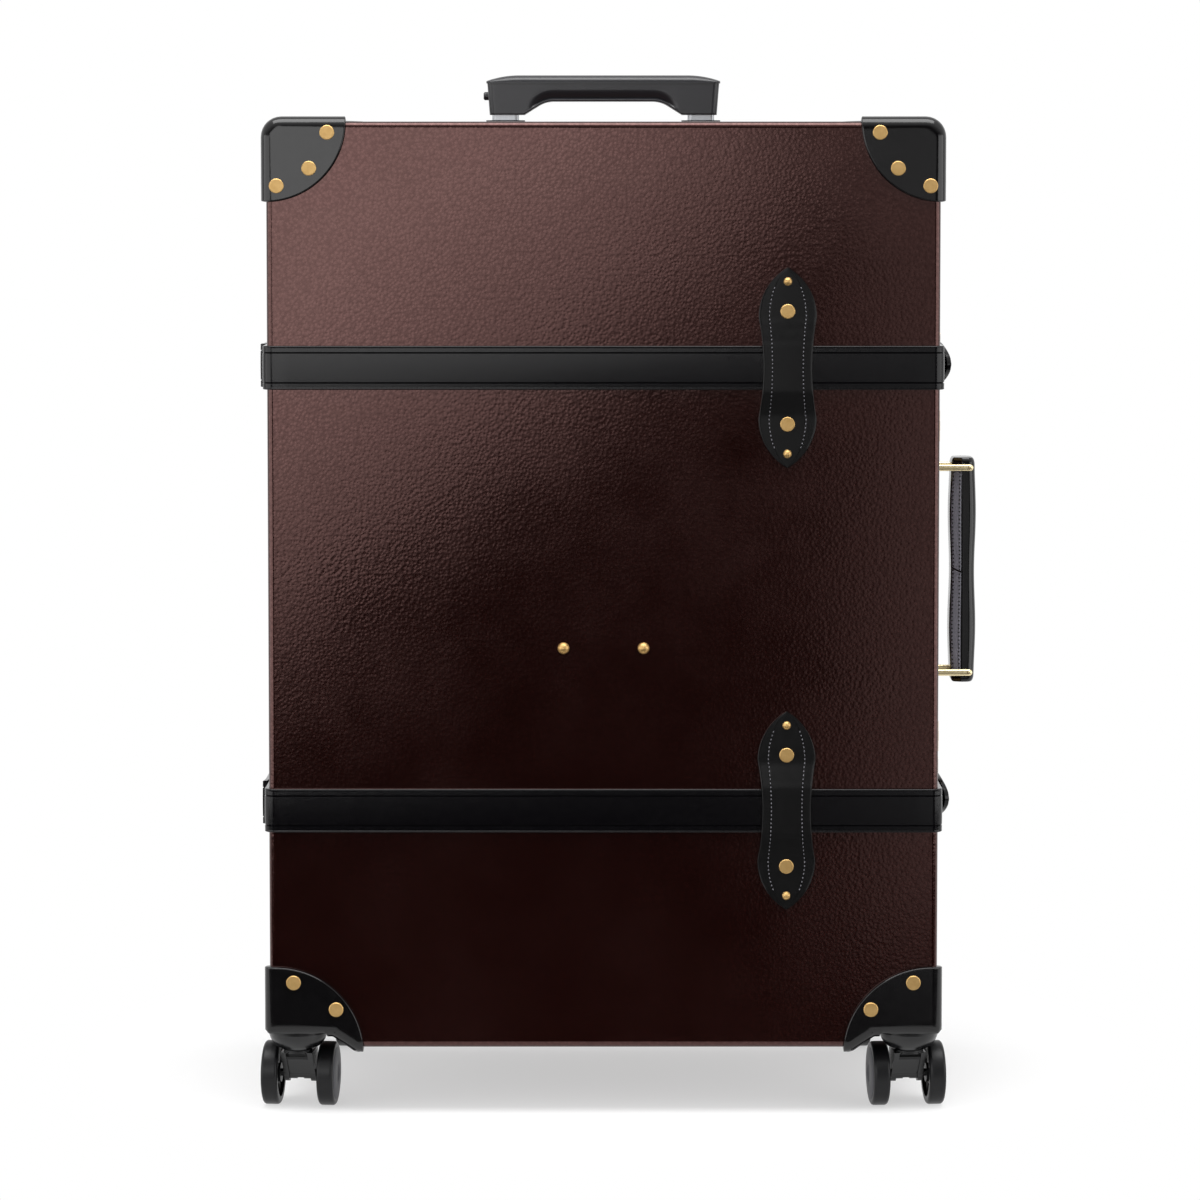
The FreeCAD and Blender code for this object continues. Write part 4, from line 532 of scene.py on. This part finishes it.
# satin hide: the tabs are split thinner and left unwaxed, so they shine more softly than the corners
satin, tree, shader, place = new_finish("satin_hide", {"IOR": 1.5, "Specular IOR Level": 0.24})
creases = add(tree, "TexNoise", {"Vector": place, "Scale": 1 / CREASE, "Detail": 5.0,
                                 "Roughness": 0.65})
surface(tree, shader, (creases.outputs["Fac"], "#030303", "#070607"),
        gloss=(creases.outputs["Fac"], 0.3, 0.38, 0.3, 0.7),
        bump=(creases.outputs["Fac"], 0.15, 0.1 * mm))

tab = loop_tab()
sewn = np.linspace(-SEWN_REACH, SEWN_REACH, 200)
sewn_x = SEWN_SHARE * loop_half_width(sewn)
sewn_line = np.stack([sewn_x, -loop_lift(sewn) - LOOP_THICK, sewn], -1)
sewn_slope = np.gradient(loop_lift(sewn), sewn)
sewn_out = np.stack([np.zeros_like(sewn), -np.ones_like(sewn), sewn_slope], -1)
sewn_out /= np.linalg.norm(sewn_out, axis=1, keepdims=True)
rows = [stitches(sewn_line * (way, 1, 1), sewn_out) for way in (-1, 1)]
for half, outward in HALVES:
    turned = np.array([1, -outward, 1])
    spots = [np.array([LOOP_X, outward * CASE_DEEP, row]) for row in STRAP_ROWS]
    piece(half + "_belt_tabs", [tab * turned + spot for spot in spots], satin, "leather", half,
          half + "_strap_loops")
    sewn_rows = [row * turned + spot for spot in spots for row in rows]
    piece(half + "_tab_stitches", np.concatenate(sewn_rows), thread, "leather", half)

# Strap tongues and buckles
# Each belt ends in a free tongue with a rounded tip that curls away from the case.
# A cast brass frame lies on it, with a prong that turns on the frame's pin.
TONGUE_X = CASE_HALF + STRAP_THICK + 0.3 * mm
TONGUE_ROOT = 42 * mm
TONGUE_TIP = -78.3 * mm
TIP_LONG = 34 * mm
TIP_SLIVER = 0.0002
CURL_FROM = -31 * mm
CURL = 6.6 * mm
tongue_y = np.linspace(TONGUE_ROOT, TONGUE_TIP, 90)
bend = np.clip((CURL_FROM - tongue_y) / (CURL_FROM - TONGUE_TIP), 0, 1)
tongue_x = TONGUE_X + CURL * bend ** 3
lean = np.gradient(tongue_x, tongue_y)
out = np.stack([np.ones_like(lean), -lean], -1) / np.hypot(1, lean)[:, None]
tip = np.clip((tongue_y - TONGUE_TIP) / TIP_LONG, TIP_SLIVER, 1)
tongue = belt(np.stack([tongue_x, tongue_y], -1), out, free_section, np.sqrt(1 - (1 - tip) ** 2))
for name, row in zip(("upper", "lower"), STRAP_ROWS):
    piece(name + "_belt_tongue", [tongue + (0, 0, row)], harness, "leather", "base",
          name + "_strap_tongue")
dress(brass, "buckle_frames", "upper_buckle_prong", "lower_buckle_prong")

# Hinges and locks
# Three pressed brass hinges hold the lid on the left; two brass hasps catch on lock cases on the right.
# Their plates are pinned through the board, and the hinges turn on plain brass pins.
dress(brass, "lid_hinge_leaves", "base_hinge_leaves", "hinge_pins", "lock_bodies", "upper_lock_button",
      "lower_lock_button", "hasp_plates", "upper_lock_hasp", "lower_lock_hasp")

# Side handle
# A padded leather grip, thinner at mid-length, hangs on two brass loops.
# Strips of split leather along its inner edges are sewn down in two rows and meet at mid-length.
HANDLE_X = 289 * mm
HANDLE_Z = 414.5 * mm
HANDLE_LONG = 181 * mm
HANDLE_THICK = 20.2 * mm
HANDLE_SWELL = 1.2 * mm
HANDLE_NEAR = np.array([(-0.5, 0.36), (-0.47, 0.40), (-0.06, 0.5),
                        (0.3, 0.48), (0.46, 0.38), (0.5, 0.28)])
HANDLE_WIDE = 30 * mm
HANDLE_EASE = 6 * mm
HANDLE_CLOSE = 5 * mm
HANDLE_MEAN = 4
SLIVER = 0.0005


def handle_thick(run):
    """Thickness along the handle: two shallow swells, one in either half."""
    return HANDLE_THICK - HANDLE_SWELL * np.cos(2 * np.pi * run)


def handle_grip():
    """Outline through the section's corners, eased by a running mean and carried up the handle."""
    outline = np.concatenate([HANDLE_NEAR, HANDLE_NEAR[::-1] * (1, -1), HANDLE_NEAR[:1]])
    reach = np.concatenate([[0], np.cumsum(np.hypot(*np.diff(outline, axis=0).T))])
    spots = np.linspace(0, reach[-1], 193)[:-1]
    ring = np.stack([np.interp(spots, reach, outline[:, axis]) for axis in range(2)], -1)
    ring = np.mean([np.roll(ring, step, axis=0)
                    for step in range(-HANDLE_MEAN, HANDLE_MEAN + 1)], axis=0)
    run = np.sin(np.linspace(-np.pi / 2, np.pi / 2, 121))
    end = np.clip((1 - np.abs(run)) * HANDLE_LONG / 2 / HANDLE_EASE, SLIVER, 1)
    close = HANDLE_CLOSE * (1 - np.sqrt(1 - (1 - end) ** 2))
    x = HANDLE_X + (handle_thick(run) - close)[:, None] * ring[:, 0]
    y = (HANDLE_WIDE - close)[:, None] * ring[:, 1]
    z = HANDLE_Z + run[:, None] * HANDLE_LONG / 2
    return np.stack(np.broadcast_arrays(x, y, z), -1)


grip = piece("padded_grip", [handle_grip()], moulded, "leather", "side_handle", "side_handle")
STRIP_FROM = np.array([-0.45, 0.405])
STRIP_TO = np.array([-0.09, 0.492])
STRIP_THICK = 0.6 * mm
STRIP_SUNK = 0.4 * mm
STRIP_EDGE = 0.35
STRIP_GAP = 0.008
STRIP_LONG = 0.925
STRIP_SLANT = 0.035
SEAM_LONG = 0.92
SEAM_SHARES = (0.15, 0.85)
SEAM_RISE = 0.45 * mm
SEAM_THREAD = 1.5 * mm
STRIP_OUT = np.array([-0.31, -0.95, 0])


def strip_spot(share, run):
    """Point of the handle's inner facet: a share of the way across it, at a run of half the length."""
    across = STRIP_FROM + share[..., None] * (STRIP_TO - STRIP_FROM)
    x = HANDLE_X + across[..., 0] * handle_thick(run)
    y = -across[..., 1] * HANDLE_WIDE
    return np.stack(np.broadcast_arrays(x, y, HANDLE_Z + run * HANDLE_LONG / 2), -1)


def grip_strip(half):
    """Flat strip along half the facet, crowned a little, its end at mid-length cut on the slant."""
    share = np.concatenate([np.linspace(0, 1, 13), np.linspace(1, 0, 13)])
    arch = np.sin(np.pi * share) ** 0.5
    upper = np.arange(len(share)) < len(share) / 2
    thick = np.where(upper, (STRIP_EDGE + (1 - STRIP_EDGE) * arch) * STRIP_THICK, -STRIP_SUNK)
    along = np.linspace(0, 1, 40)[:, None]
    run = half * (STRIP_GAP + STRIP_LONG * along) + STRIP_SLANT * (0.5 - share) * (1 - along)
    return strip_spot(share * np.ones_like(run), run) + thick[None, :, None] * STRIP_OUT


# split leather: napped, with short fibres; its light grey is partly its own and partly a painted
# highlight from the lamps on the left
NAP = 1.2 * mm
# partly painted highlight: the strip's grey is raised for the facet that faces the left lamps
strip_hide_and_highlight, tree, shader, place = new_finish("split_leather_painted_highlight", {"Roughness": 0.45,
                                                               "Specular IOR Level": 0.4})
nap = add(tree, "TexNoise", {"Vector": place, "Scale": 1 / NAP, "Detail": 4.0, "Roughness": 0.6})
surface(tree, shader, (nap.outputs["Fac"], "#74737d", "#a09fa9"),
        bump=(nap.outputs["Fac"], 0.3, 0.1 * mm))
strips = np.array([grip_strip(half) for half in (-1, 1)])
piece("grip_strips", np.concatenate([strips, strips * (1, -1, 1)]), strip_hide_and_highlight, "leather",
      "side_handle")
seam_run = np.linspace(-SEAM_LONG, SEAM_LONG, 240)
seam_out = np.tile(STRIP_OUT, (len(seam_run), 1))
rows = []
for share in SEAM_SHARES:
    row = strip_spot(np.full(len(seam_run), share), seam_run) + SEAM_RISE * seam_out
    rows += [stitches(row * way, seam_out * way, SEAM_THREAD) for way in ((1, 1, 1), (1, -1, 1))]
count = min(len(row) for row in rows)

# tarred thread: black and dull, twisted like the tabs' thread
black_thread, tree, shader, place = new_finish("tarred_thread", {"Roughness": 0.5,
                                                                 "Base Color": linear("#050506")})
strands = add(tree, "TexNoise", {"Vector": place, "Scale": 1 / STRAND, "Detail": 2.0})
surface(tree, shader, bump=(strands.outputs["Fac"], 0.4, 0.1 * mm))
piece("grip_stitches", np.concatenate([row[:count] for row in rows]), black_thread, "leather",
      "side_handle")

# pale brass: bright from handling, with a soft haze of fine wear
HAZE = 3 * mm
pale_brass, tree, shader, place = new_finish("pale_brass", {"Metallic": 1.0})
hairs = add(tree, "TexNoise", {"Vector": place, "Scale": 1 / HAZE, "Detail": 3.0})
surface(tree, shader, (hairs.outputs["Fac"], "#ecd6a0", "#fbeec8"),
        gloss=(hairs.outputs["Fac"], 0.26, 0.34))
dress(pale_brass, "handle_lugs")
LOOP_PIVOT = 264 * mm
LOOP_PIN = 294 * mm
LOOP_LEG = 17.1 * mm
LOOP_BAR = 2.6 * mm
LOOP_CHEEK = 1.5 * mm
LOOP_WIRE = 2 * mm
PIN_HEAD = 1.5 * mm
PIN_REACH = 2.1 * mm
PIN_DOME = 0.6 * mm
WIRE_END = 0.2 * mm
LOOP_ROWS = (497 * mm, 332 * mm)


def rod(start, end, wide, high, ease):
    """Ellipse on two half axes, carried from start to end and closed over the ease length at both."""
    start, end = np.array(start), np.array(end)
    run = 0.5 + 0.5 * np.sin(np.linspace(-np.pi / 2, np.pi / 2, 41))
    near = np.clip(np.minimum(run, 1 - run) * np.linalg.norm(end - start) / ease, SLIVER, 1)
    turn = np.linspace(0, 2 * np.pi, 33)[:-1, None]
    ring = np.cos(turn) * np.array(wide) + np.sin(turn) * np.array(high)
    close = np.sqrt(1 - (1 - near) ** 2)
    return start + run[:, None, None] * (end - start) + close[:, None, None] * ring


bars = []
for way in (-1, 1):
    leg = way * LOOP_LEG
    bars.append(rod((LOOP_PIVOT - LOOP_BAR, leg, 0), (LOOP_PIN + LOOP_BAR, leg, 0), (0, LOOP_CHEEK, 0),
                    (0, 0, LOOP_BAR), LOOP_BAR))
    bars.append(rod((LOOP_PIN, leg, 0), (LOOP_PIN, leg + way * PIN_REACH, 0), (PIN_HEAD, 0, 0),
                    (0, 0, PIN_HEAD), PIN_DOME))
for x in (LOOP_PIVOT, LOOP_PIN):
    bars.append(rod((x, -LOOP_LEG, 0), (x, LOOP_LEG, 0), (LOOP_WIRE, 0, 0),
                    (0, 0, LOOP_WIRE), WIRE_END))
for name, row in zip(("upper", "lower"), LOOP_ROWS):
    cad_loop = name + "_handle_loop"
    piece(name + "_bowed_loop", np.array(bars) + (0, 0, row), pale_brass, "brass", cad_loop, cad_loop)

# Trolley tubes
# Three drawn aluminium tubes slide in each other on either side; a bracket carries the outer ones.
# They are brushed along their length and clear anodised.
BRUSH = 0.35 * mm
BRUSH_LONG = 60 * mm
anodised, tree, shader, place = new_finish("anodised_aluminium", {"Metallic": 1.0})
brush_way = add(tree, "Mapping", {"Vector": place, "Scale": (1 / BRUSH, 1 / BRUSH, 1 / BRUSH_LONG)})
brushed = add(tree, "TexNoise", {"Vector": brush_way.outputs[0], "Scale": 1.0, "Detail": 2.0})
surface(tree, shader, (brushed.outputs["Fac"], "#a9abaf", "#cfd1d4"),
        gloss=(brushed.outputs["Fac"], 0.28, 0.42))
dress(anodised, "outer_tubes", "middle_tubes", "inner_tubes", "tube_bracket")

# Trolley grip and bezels
# Moulded ABS: a bridge with two legs, a domed cap snapped on, and a release button in its left end.
# The mould is spark-eroded, which leaves a fine even grain.
SPARK = 0.8 * mm
FLOW = 40 * mm
abs_plastic, tree, shader, place = new_finish("moulded_abs", {"IOR": 1.54, "Specular IOR Level": 0.5})
spark = add(tree, "TexNoise", {"Vector": place, "Scale": 1 / SPARK, "Detail": 3.0})
flow = add(tree, "TexNoise", {"Vector": place, "Scale": 1 / FLOW, "Detail": 2.0})
surface(tree, shader, (flow.outputs["Fac"], "#17171a", "#1f1f23"),
        gloss=(spark.outputs["Fac"], 0.26, 0.36), bump=(spark.outputs["Fac"], 0.3, 0.08 * mm))
dress(abs_plastic, "release_button")

# matte ABS: the bezels' mould is etched deeper, which leaves them dull
matte_abs, tree, shader, place = new_finish("matte_abs", {"IOR": 1.54, "Specular IOR Level": 0.2,
                                                           "Roughness": 0.6})
spark = add(tree, "TexNoise", {"Vector": place, "Scale": 1 / SPARK, "Detail": 3.0})
surface(tree, shader, (spark.outputs["Fac"], "#0c0c0e", "#151517"))
dress(matte_abs, "tube_bezels")

GRIP_Y = 112 * mm
GRIP_HALF = 95.7 * mm
GRIP_DEEP = 12.7 * mm
GRIP_FOOT = 781 * mm
GRIP_PARTING = 807 * mm
GRIP_ROUND = 5 * mm
GRIP_DRAFT = 2 * mm
BEAD = 1.0 * mm
SCOOP = 2.4 * mm
SCOOP_HIGH = 8.5 * mm
BUTTON_Z = 796.5 * mm
BUTTON_HOLE = 3.46 * mm
BUTTON_END = -87.7 * mm
ARC = 25 * mm
ARC_X = 41.13 * mm
ARC_Z = 767 * mm
SLANT_FROM = 53.9 * mm
LEG_FROM = 66.5 * mm
LEG_SLANT = 11 / 18.5
SCOOP_FROM = 1.4 * BEAD
SCOOP_FALL = 0.16
SCOOP_END = 63 * mm
SCOOP_FADE = 12 * mm


def grip_underside(x):
    """Height of the underside: level under the bar, an arc, a slant to the leg, level under the leg."""
    x = np.abs(x)
    arc = ARC_Z + np.sqrt(np.maximum(ARC ** 2 - np.maximum(x - ARC_X, 0) ** 2, 0))
    slant = GRIP_FOOT + (LEG_FROM - x) * LEG_SLANT
    return np.maximum(np.where(x < SLANT_FROM, arc, slant), GRIP_FOOT)


def rounded_depth(x, half, deep):
    """Half depth along the grip: full, and rounded off by a quarter circle at both ends."""
    end = np.clip(GRIP_ROUND - (half - np.abs(x)), 0, GRIP_ROUND)
    return deep - GRIP_ROUND + np.sqrt(np.maximum(GRIP_ROUND ** 2 - end ** 2, 0))


def drafted(z):
    """Share of the length kept at a height: all at the parting line, evenly less towards the foot."""
    return 1 - (GRIP_PARTING - z) / (GRIP_PARTING - GRIP_FOOT) * GRIP_DRAFT / GRIP_HALF


def bridge_grip():
    """Upright section carried from end to end; above a bead at the lower edge each face is scooped out.

    The scoop falls in steeply over the bead, runs out upward, and fades into the legs.
    At the left end two rings of the button's size lead into its well.
    """
    x = np.sin(np.linspace(-np.pi / 2, np.pi / 2, 181)) * GRIP_HALF
    foot = grip_underside(x)
    quarter = np.linspace(0, np.pi / 2, 6)
    climb = SCOOP_FROM + SCOOP_HIGH * np.linspace(0, 1, 31) ** 1.4
    low = np.concatenate([BEAD * (1 - np.cos(quarter)), climb])
    tuck = np.concatenate([BEAD * (1 - np.sin(quarter)), np.zeros(len(climb))])
    up = np.clip((low - SCOOP_FROM) / SCOOP_HIGH, 0, 1)
    fall = np.clip(up / SCOOP_FALL, 0, 1)
    run_out = 1 - np.clip((up - SCOOP_FALL) / (1 - SCOOP_FALL), 0, 1)
    hollow = SCOOP * smooth(fall) * run_out ** 1.6
    fade = np.clip((SCOOP_END - np.abs(x)) / SCOOP_FADE, 0, 1)
    inset = tuck + smooth(fade)[:, None] * hollow
    rise = np.concatenate([foot[:, None] + low, np.full((len(x), 1), GRIP_PARTING)], axis=1)
    inset = np.concatenate([inset, np.zeros((len(x), 1))], axis=1)
    out = rounded_depth(x, GRIP_HALF, GRIP_DEEP)[:, None] - inset
    y = GRIP_Y + np.concatenate([-out, out[:, ::-1]], axis=1)
    z = np.concatenate([rise, rise[:, ::-1]], axis=1)
    rings = np.stack([x[:, None] * drafted(z), y, z], -1)
    turn = np.arctan2(z[0] - BUTTON_Z, y[0] - GRIP_Y)
    hole = np.stack([GRIP_Y + BUTTON_HOLE * np.cos(turn), BUTTON_Z + BUTTON_HOLE * np.sin(turn)], -1)
    mouth = -GRIP_HALF * drafted(hole[:, 1])
    well = [np.column_stack([np.full(len(turn), BUTTON_END), hole]), np.column_stack([mouth, hole])]
    return np.concatenate([well, rings])


CAP_HALF = 96.5 * mm
CAP_DEEP = 13.5 * mm
CAP_TOP = 813.5 * mm
CAP_END = 808.8 * mm
CAP_SLOPE = 27 * mm
CAP_WALL = 0.9 * mm
CAP_SHOULDER = 7 * mm


def domed_cap():
    """Section with an upright wall and elliptic shoulders, carried from end to end.

    The line of its top is level, and drops in an arc at both ends.
    """
    x = np.sin(np.linspace(-np.pi / 2, np.pi / 2, 161)) * CAP_HALF
    drop = CAP_TOP - CAP_END
    bend = (CAP_SLOPE ** 2 + drop ** 2) / (2 * drop)
    into = np.maximum(np.abs(x) - CAP_HALF + CAP_SLOPE, 0)
    top = CAP_TOP - bend + np.sqrt(bend ** 2 - into ** 2)
    deep = rounded_depth(x, CAP_HALF, CAP_DEEP)
    turn = np.linspace(0, np.pi / 2, 12)
    inset = np.concatenate([[0], CAP_SHOULDER * (1 - np.cos(turn))])
    share = np.concatenate([[0], np.sin(turn)])
    wall = np.concatenate([[0], np.full(len(turn), CAP_WALL)])
    rise = GRIP_PARTING + wall + share * (top[:, None] - GRIP_PARTING - CAP_WALL)
    out = deep[:, None] - inset * (deep / CAP_DEEP)[:, None]
    y = GRIP_Y + np.concatenate([-out, out[:, ::-1]], axis=1)
    z = np.concatenate([rise, rise[:, ::-1]], axis=1)
    return np.stack(np.broadcast_arrays(x[:, None], y, z), -1)


piece("bridge_grip", [bridge_grip()], abs_plastic, "grip_plastic", "trolley_handle", "trolley_grip")
piece("domed_cap", [domed_cap()], abs_plastic, "grip_plastic", "trolley_handle", "grip_cap")

# Casters
# Nylon cups are screwed under the case; in each a fork swivels, with two wheels on its cross axle.
# The nylon is black and satin; the wheels are cast polyurethane with a grey disc pressed into each.
nylon, tree, shader, place = new_finish("moulded_nylon", {"IOR": 1.53, "Specular IOR Level": 0.45})
spark = add(tree, "TexNoise", {"Vector": place, "Scale": 1 / SPARK, "Detail": 3.0})
surface(tree, shader, (spark.outputs["Fac"], "#060607", "#0c0c0e"),
        gloss=(spark.outputs["Fac"], 0.2, 0.3), bump=(spark.outputs["Fac"], 0.3, 0.08 * mm))
corners_of = [f"{row}_{side}" for row in ("front", "rear") for side in ("left", "right")]
dress(nylon, "lid_caster_cups", "base_caster_cups",
      *[corner + "_caster_fork" for corner in corners_of])

SCUFF = 6 * mm
tread, tree, shader, place = new_finish("cast_polyurethane", {"IOR": 1.5, "Specular IOR Level": 0.25})
scuffs = add(tree, "TexNoise", {"Vector": place, "Scale": 1 / SCUFF, "Detail": 6.0, "Roughness": 0.65})
surface(tree, shader, (scuffs.outputs["Fac"], "#0a0a0b", "#141416"),
        gloss=(scuffs.outputs["Fac"], 0.28, 0.42), bump=(scuffs.outputs["Fac"], 0.25, 0.15 * mm))
dress(tread, *[f"{corner}_wheel_{letter}" for corner in corners_of for letter in "ab"])

DISC = 20.5 * mm
disc_face, tree, shader, place = new_finish("grey_abs", {"IOR": 1.54, "Specular IOR Level": 0.4})
spark = add(tree, "TexNoise", {"Vector": place, "Scale": 1 / SPARK, "Detail": 3.0})
surface(tree, shader, (spark.outputs["Fac"], "#37373b", "#47474c"),
        bump=(spark.outputs["Fac"], 0.2, 0.08 * mm))
SWIVEL_X = 239.5 * mm
SWIVEL_Y = 116 * mm
TRAIL = 13 * mm
AXLE_Z = 25 * mm
WHEEL_FACE = 28.5 * mm
TOE = np.radians(5)
DISC_LINE = np.array([(1.0, -0.5), (1.0, 0.15), (0.97, 0.45), (0.6, 0.8),
                      (0.34, 0.9), (0.32, 0.5), (0.01, 0.5)])


def wheel_disc(side, row, hand):
    """Line of (share of the radius, height) turned about the axle, on the outer face of one wheel."""
    axle = np.array([np.cos(side * TOE), np.sin(side * TOE), 0])
    back = np.array([-axle[1], axle[0], 0])
    swivel = np.array([side * SWIVEL_X, row * SWIVEL_Y, AXLE_Z])
    middle = swivel + TRAIL * back + hand * WHEEL_FACE * axle
    turn = np.linspace(0, 2 * np.pi, 65)[:-1, None]
    spoke = DISC * (np.cos(turn) * back + np.sin(turn) * np.array([0, 0, 1]))
    return middle + DISC_LINE[:, :1, None] * spoke + DISC_LINE[:, 1:, None] * mm * hand * axle


for row_name, row in (("front", -1), ("rear", 1)):
    for side_name, side in (("left", -1), ("right", 1)):
        for letter, hand in (("a", -1), ("b", 1)):
            wheel = f"{row_name}_{side_name}_wheel_{letter}"
            piece(wheel + "_disc", [wheel_disc(side, row, hand)], disc_face, "caster_plastic", wheel)

# Floor and backdrop
# A sheet of white paper lies under the case and curves up behind it; it ends close in front of the lid.
# The camera sees it white, and near the case half of that is its own lit surface with the shadow.
PAPER_FRONT = -0.34
PAPER_BEND = 2.5
PAPER_SWEEP = 2.0
PAPER_END = 6.0
SHADOW = (0.3, 0.45)
run = np.linspace(PAPER_FRONT, PAPER_END, 121)
back = np.clip((run - PAPER_BEND) / PAPER_SWEEP, 0, 1) * np.pi / 2
up = PAPER_SWEEP * (1 - np.cos(back)) + 2 * np.maximum(run - PAPER_BEND - PAPER_SWEEP, 0)
paper_y = np.where(run < PAPER_BEND, run, PAPER_BEND + PAPER_SWEEP * np.sin(back))
paper_z = np.where(run < PAPER_BEND, 0, up)
paper_x = np.array([-PAPER_END, PAPER_END])
sheet_points = np.stack(np.broadcast_arrays(paper_x[None], paper_y[:, None], paper_z[:, None]), -1)
index = np.arange(2 * len(run)).reshape(-1, 2)
quads = np.stack([index[:-1, 0], index[:-1, 1], index[1:, 1], index[1:, 0]], -1)
mesh = bpy.data.meshes.new("paper")
mesh.from_pydata(sheet_points.reshape(-1, 3), [], quads.tolist())
mesh.shade_smooth()
paper = bpy.data.objects.new("paper", mesh)
bpy.context.scene.collection.objects.link(paper)
white = bpy.data.materials.new("white_paper")
white.use_nodes = True
tree = white.node_tree
tree.nodes.clear()
place = add(tree, "TexCoord", {}).outputs["Object"]
from_case = add(tree, "VectorMath", {0: place, 1: (0, 0.12, 0)}, operation="DISTANCE")
fade = add(tree, "MapRange", {"Value": from_case.outputs["Value"], "From Min": SHADOW[0],
                              "From Max": SHADOW[1], "To Min": 0.5, "To Max": 1.0},
           interpolation_type="SMOOTHSTEP")
rays = add(tree, "LightPath", {})
seen = add(tree, "Math", {0: rays.outputs["Is Camera Ray"], 1: rays.outputs["Is Glossy Ray"]},
           operation="ADD")
seen = add(tree, "Math", {0: seen.outputs[0], 1: rays.outputs["Is Transmission Ray"]},
           operation="ADD")
share = add(tree, "Math", {0: seen.outputs[0], 1: fade.outputs[0]}, operation="MULTIPLY",
            use_clamp=True)
lit = add(tree, "BsdfDiffuse", {"Color": linear("#f2f2f2")})
glow = add(tree, "Emission", {"Color": (1, 1, 1, 1), "Strength": 1.0})
both = add(tree, "MixShader", {0: share.outputs[0], 1: lit.outputs[0], 2: glow.outputs[0]})
add(tree, "OutputMaterial", {"Surface": both.outputs[0]})
mesh.materials.append(white)

# Studio light
# Two soft boxes left of the camera light the lid, and a weak one stands to its right.
# Others light the edges from both sides and from above, and a weak one shines up from below.
# The room is bright behind and above the case, and dark in front, where the lid mirrors it.
world = bpy.data.worlds.new("studio")
bpy.context.scene.world = world
world.use_nodes = True
tree = world.node_tree
way = add(tree, "SeparateXYZ", {"Vector": add(tree, "TexCoord", {}).outputs["Generated"]})
slant = add(tree, "Math", {0: way.outputs["Z"], 1: 1.6, 2: way.outputs["Y"]}, operation="MULTIPLY_ADD")
room = add(tree, "MapRange", {"Value": slant.outputs[0], "From Min": -0.6, "From Max": 0.6,
                              "To Min": 0.02, "To Max": 1.0}, interpolation_type="SMOOTHSTEP")
rays = add(tree, "LightPath", {})
bright = add(tree, "Math", {0: room.outputs[0], 1: rays.outputs["Is Camera Ray"]}, operation="MAXIMUM")
tree.links.new(bright.outputs[0], tree.nodes["Background"].inputs["Strength"])
tree.nodes["Background"].inputs["Color"].default_value = (1, 1, 1, 1)


def soft_box(name, centre, target, width, height, power, roll=0):
    """An area lamp at centre that faces target, rolled about its own axis."""
    lamp = bpy.data.lights.new(name, "AREA")
    lamp.shape = "RECTANGLE"
    lamp.size, lamp.size_y, lamp.energy = width, height, power
    obj = bpy.data.objects.new(name, lamp)
    obj.location = centre
    facing = (Vector(target) - Vector(centre)).to_track_quat("-Z", "Y").to_matrix().to_4x4()
    obj.rotation_euler = (facing @ Matrix.Rotation(np.radians(roll), 4, "Z")).to_euler()
    obj.visible_camera = False
    bpy.context.scene.collection.objects.link(obj)


soft_box("key", (-0.83, -3.6, 1.08), (-0.83, 0, 1.08), 1.4, 2.0, 14, 40.7)
soft_box("key_core", (-1.0, -3.55, 1.28), (-1.0, 0, 1.28), 1.5, 2.0, 9.5, 40.7)
soft_box("fill", (0.85, -3.5, 0.3), (0.85, 0, 0.3), 0.9, 1.6, 2.3)
soft_box("side", (-1.9, -1.15, 0.5), (0, 0, 0.45), 2.4, 1.1, 18)
soft_box("far_side", (1.9, -1.0, 0.5), (0, 0, 0.45), 2.0, 1.1, 15)
soft_box("top", (0.0, -0.5, 2.4), (0, 0, 0.5), 2.6, 1.2, 52)
soft_box("bounce", (0.2, -3.5, -1.4), (0.2, 0, 0.4), 2.4, 0.9, 3.8)

# Camera
# It stands about 3.3 m in front of the lid, just below the height of the case's top.
# It is tilted down a little, and its long lens is shifted, so the upright edges stay nearly parallel.
TILT = 3.63
camera = bpy.data.cameras.new("camera")
camera.sensor_width = 36
camera.lens = 128.4
camera.shift_y = -0.12
eye = bpy.data.objects.new("camera", camera)
eye.location = (-0.0027, -3.44, 0.7236)
eye.rotation_euler = (np.radians(90 - TILT), 0, 0)
bpy.context.scene.collection.objects.link(eye)
bpy.context.scene.camera = eye
bpy.context.scene.view_settings.view_transform = "Standard"
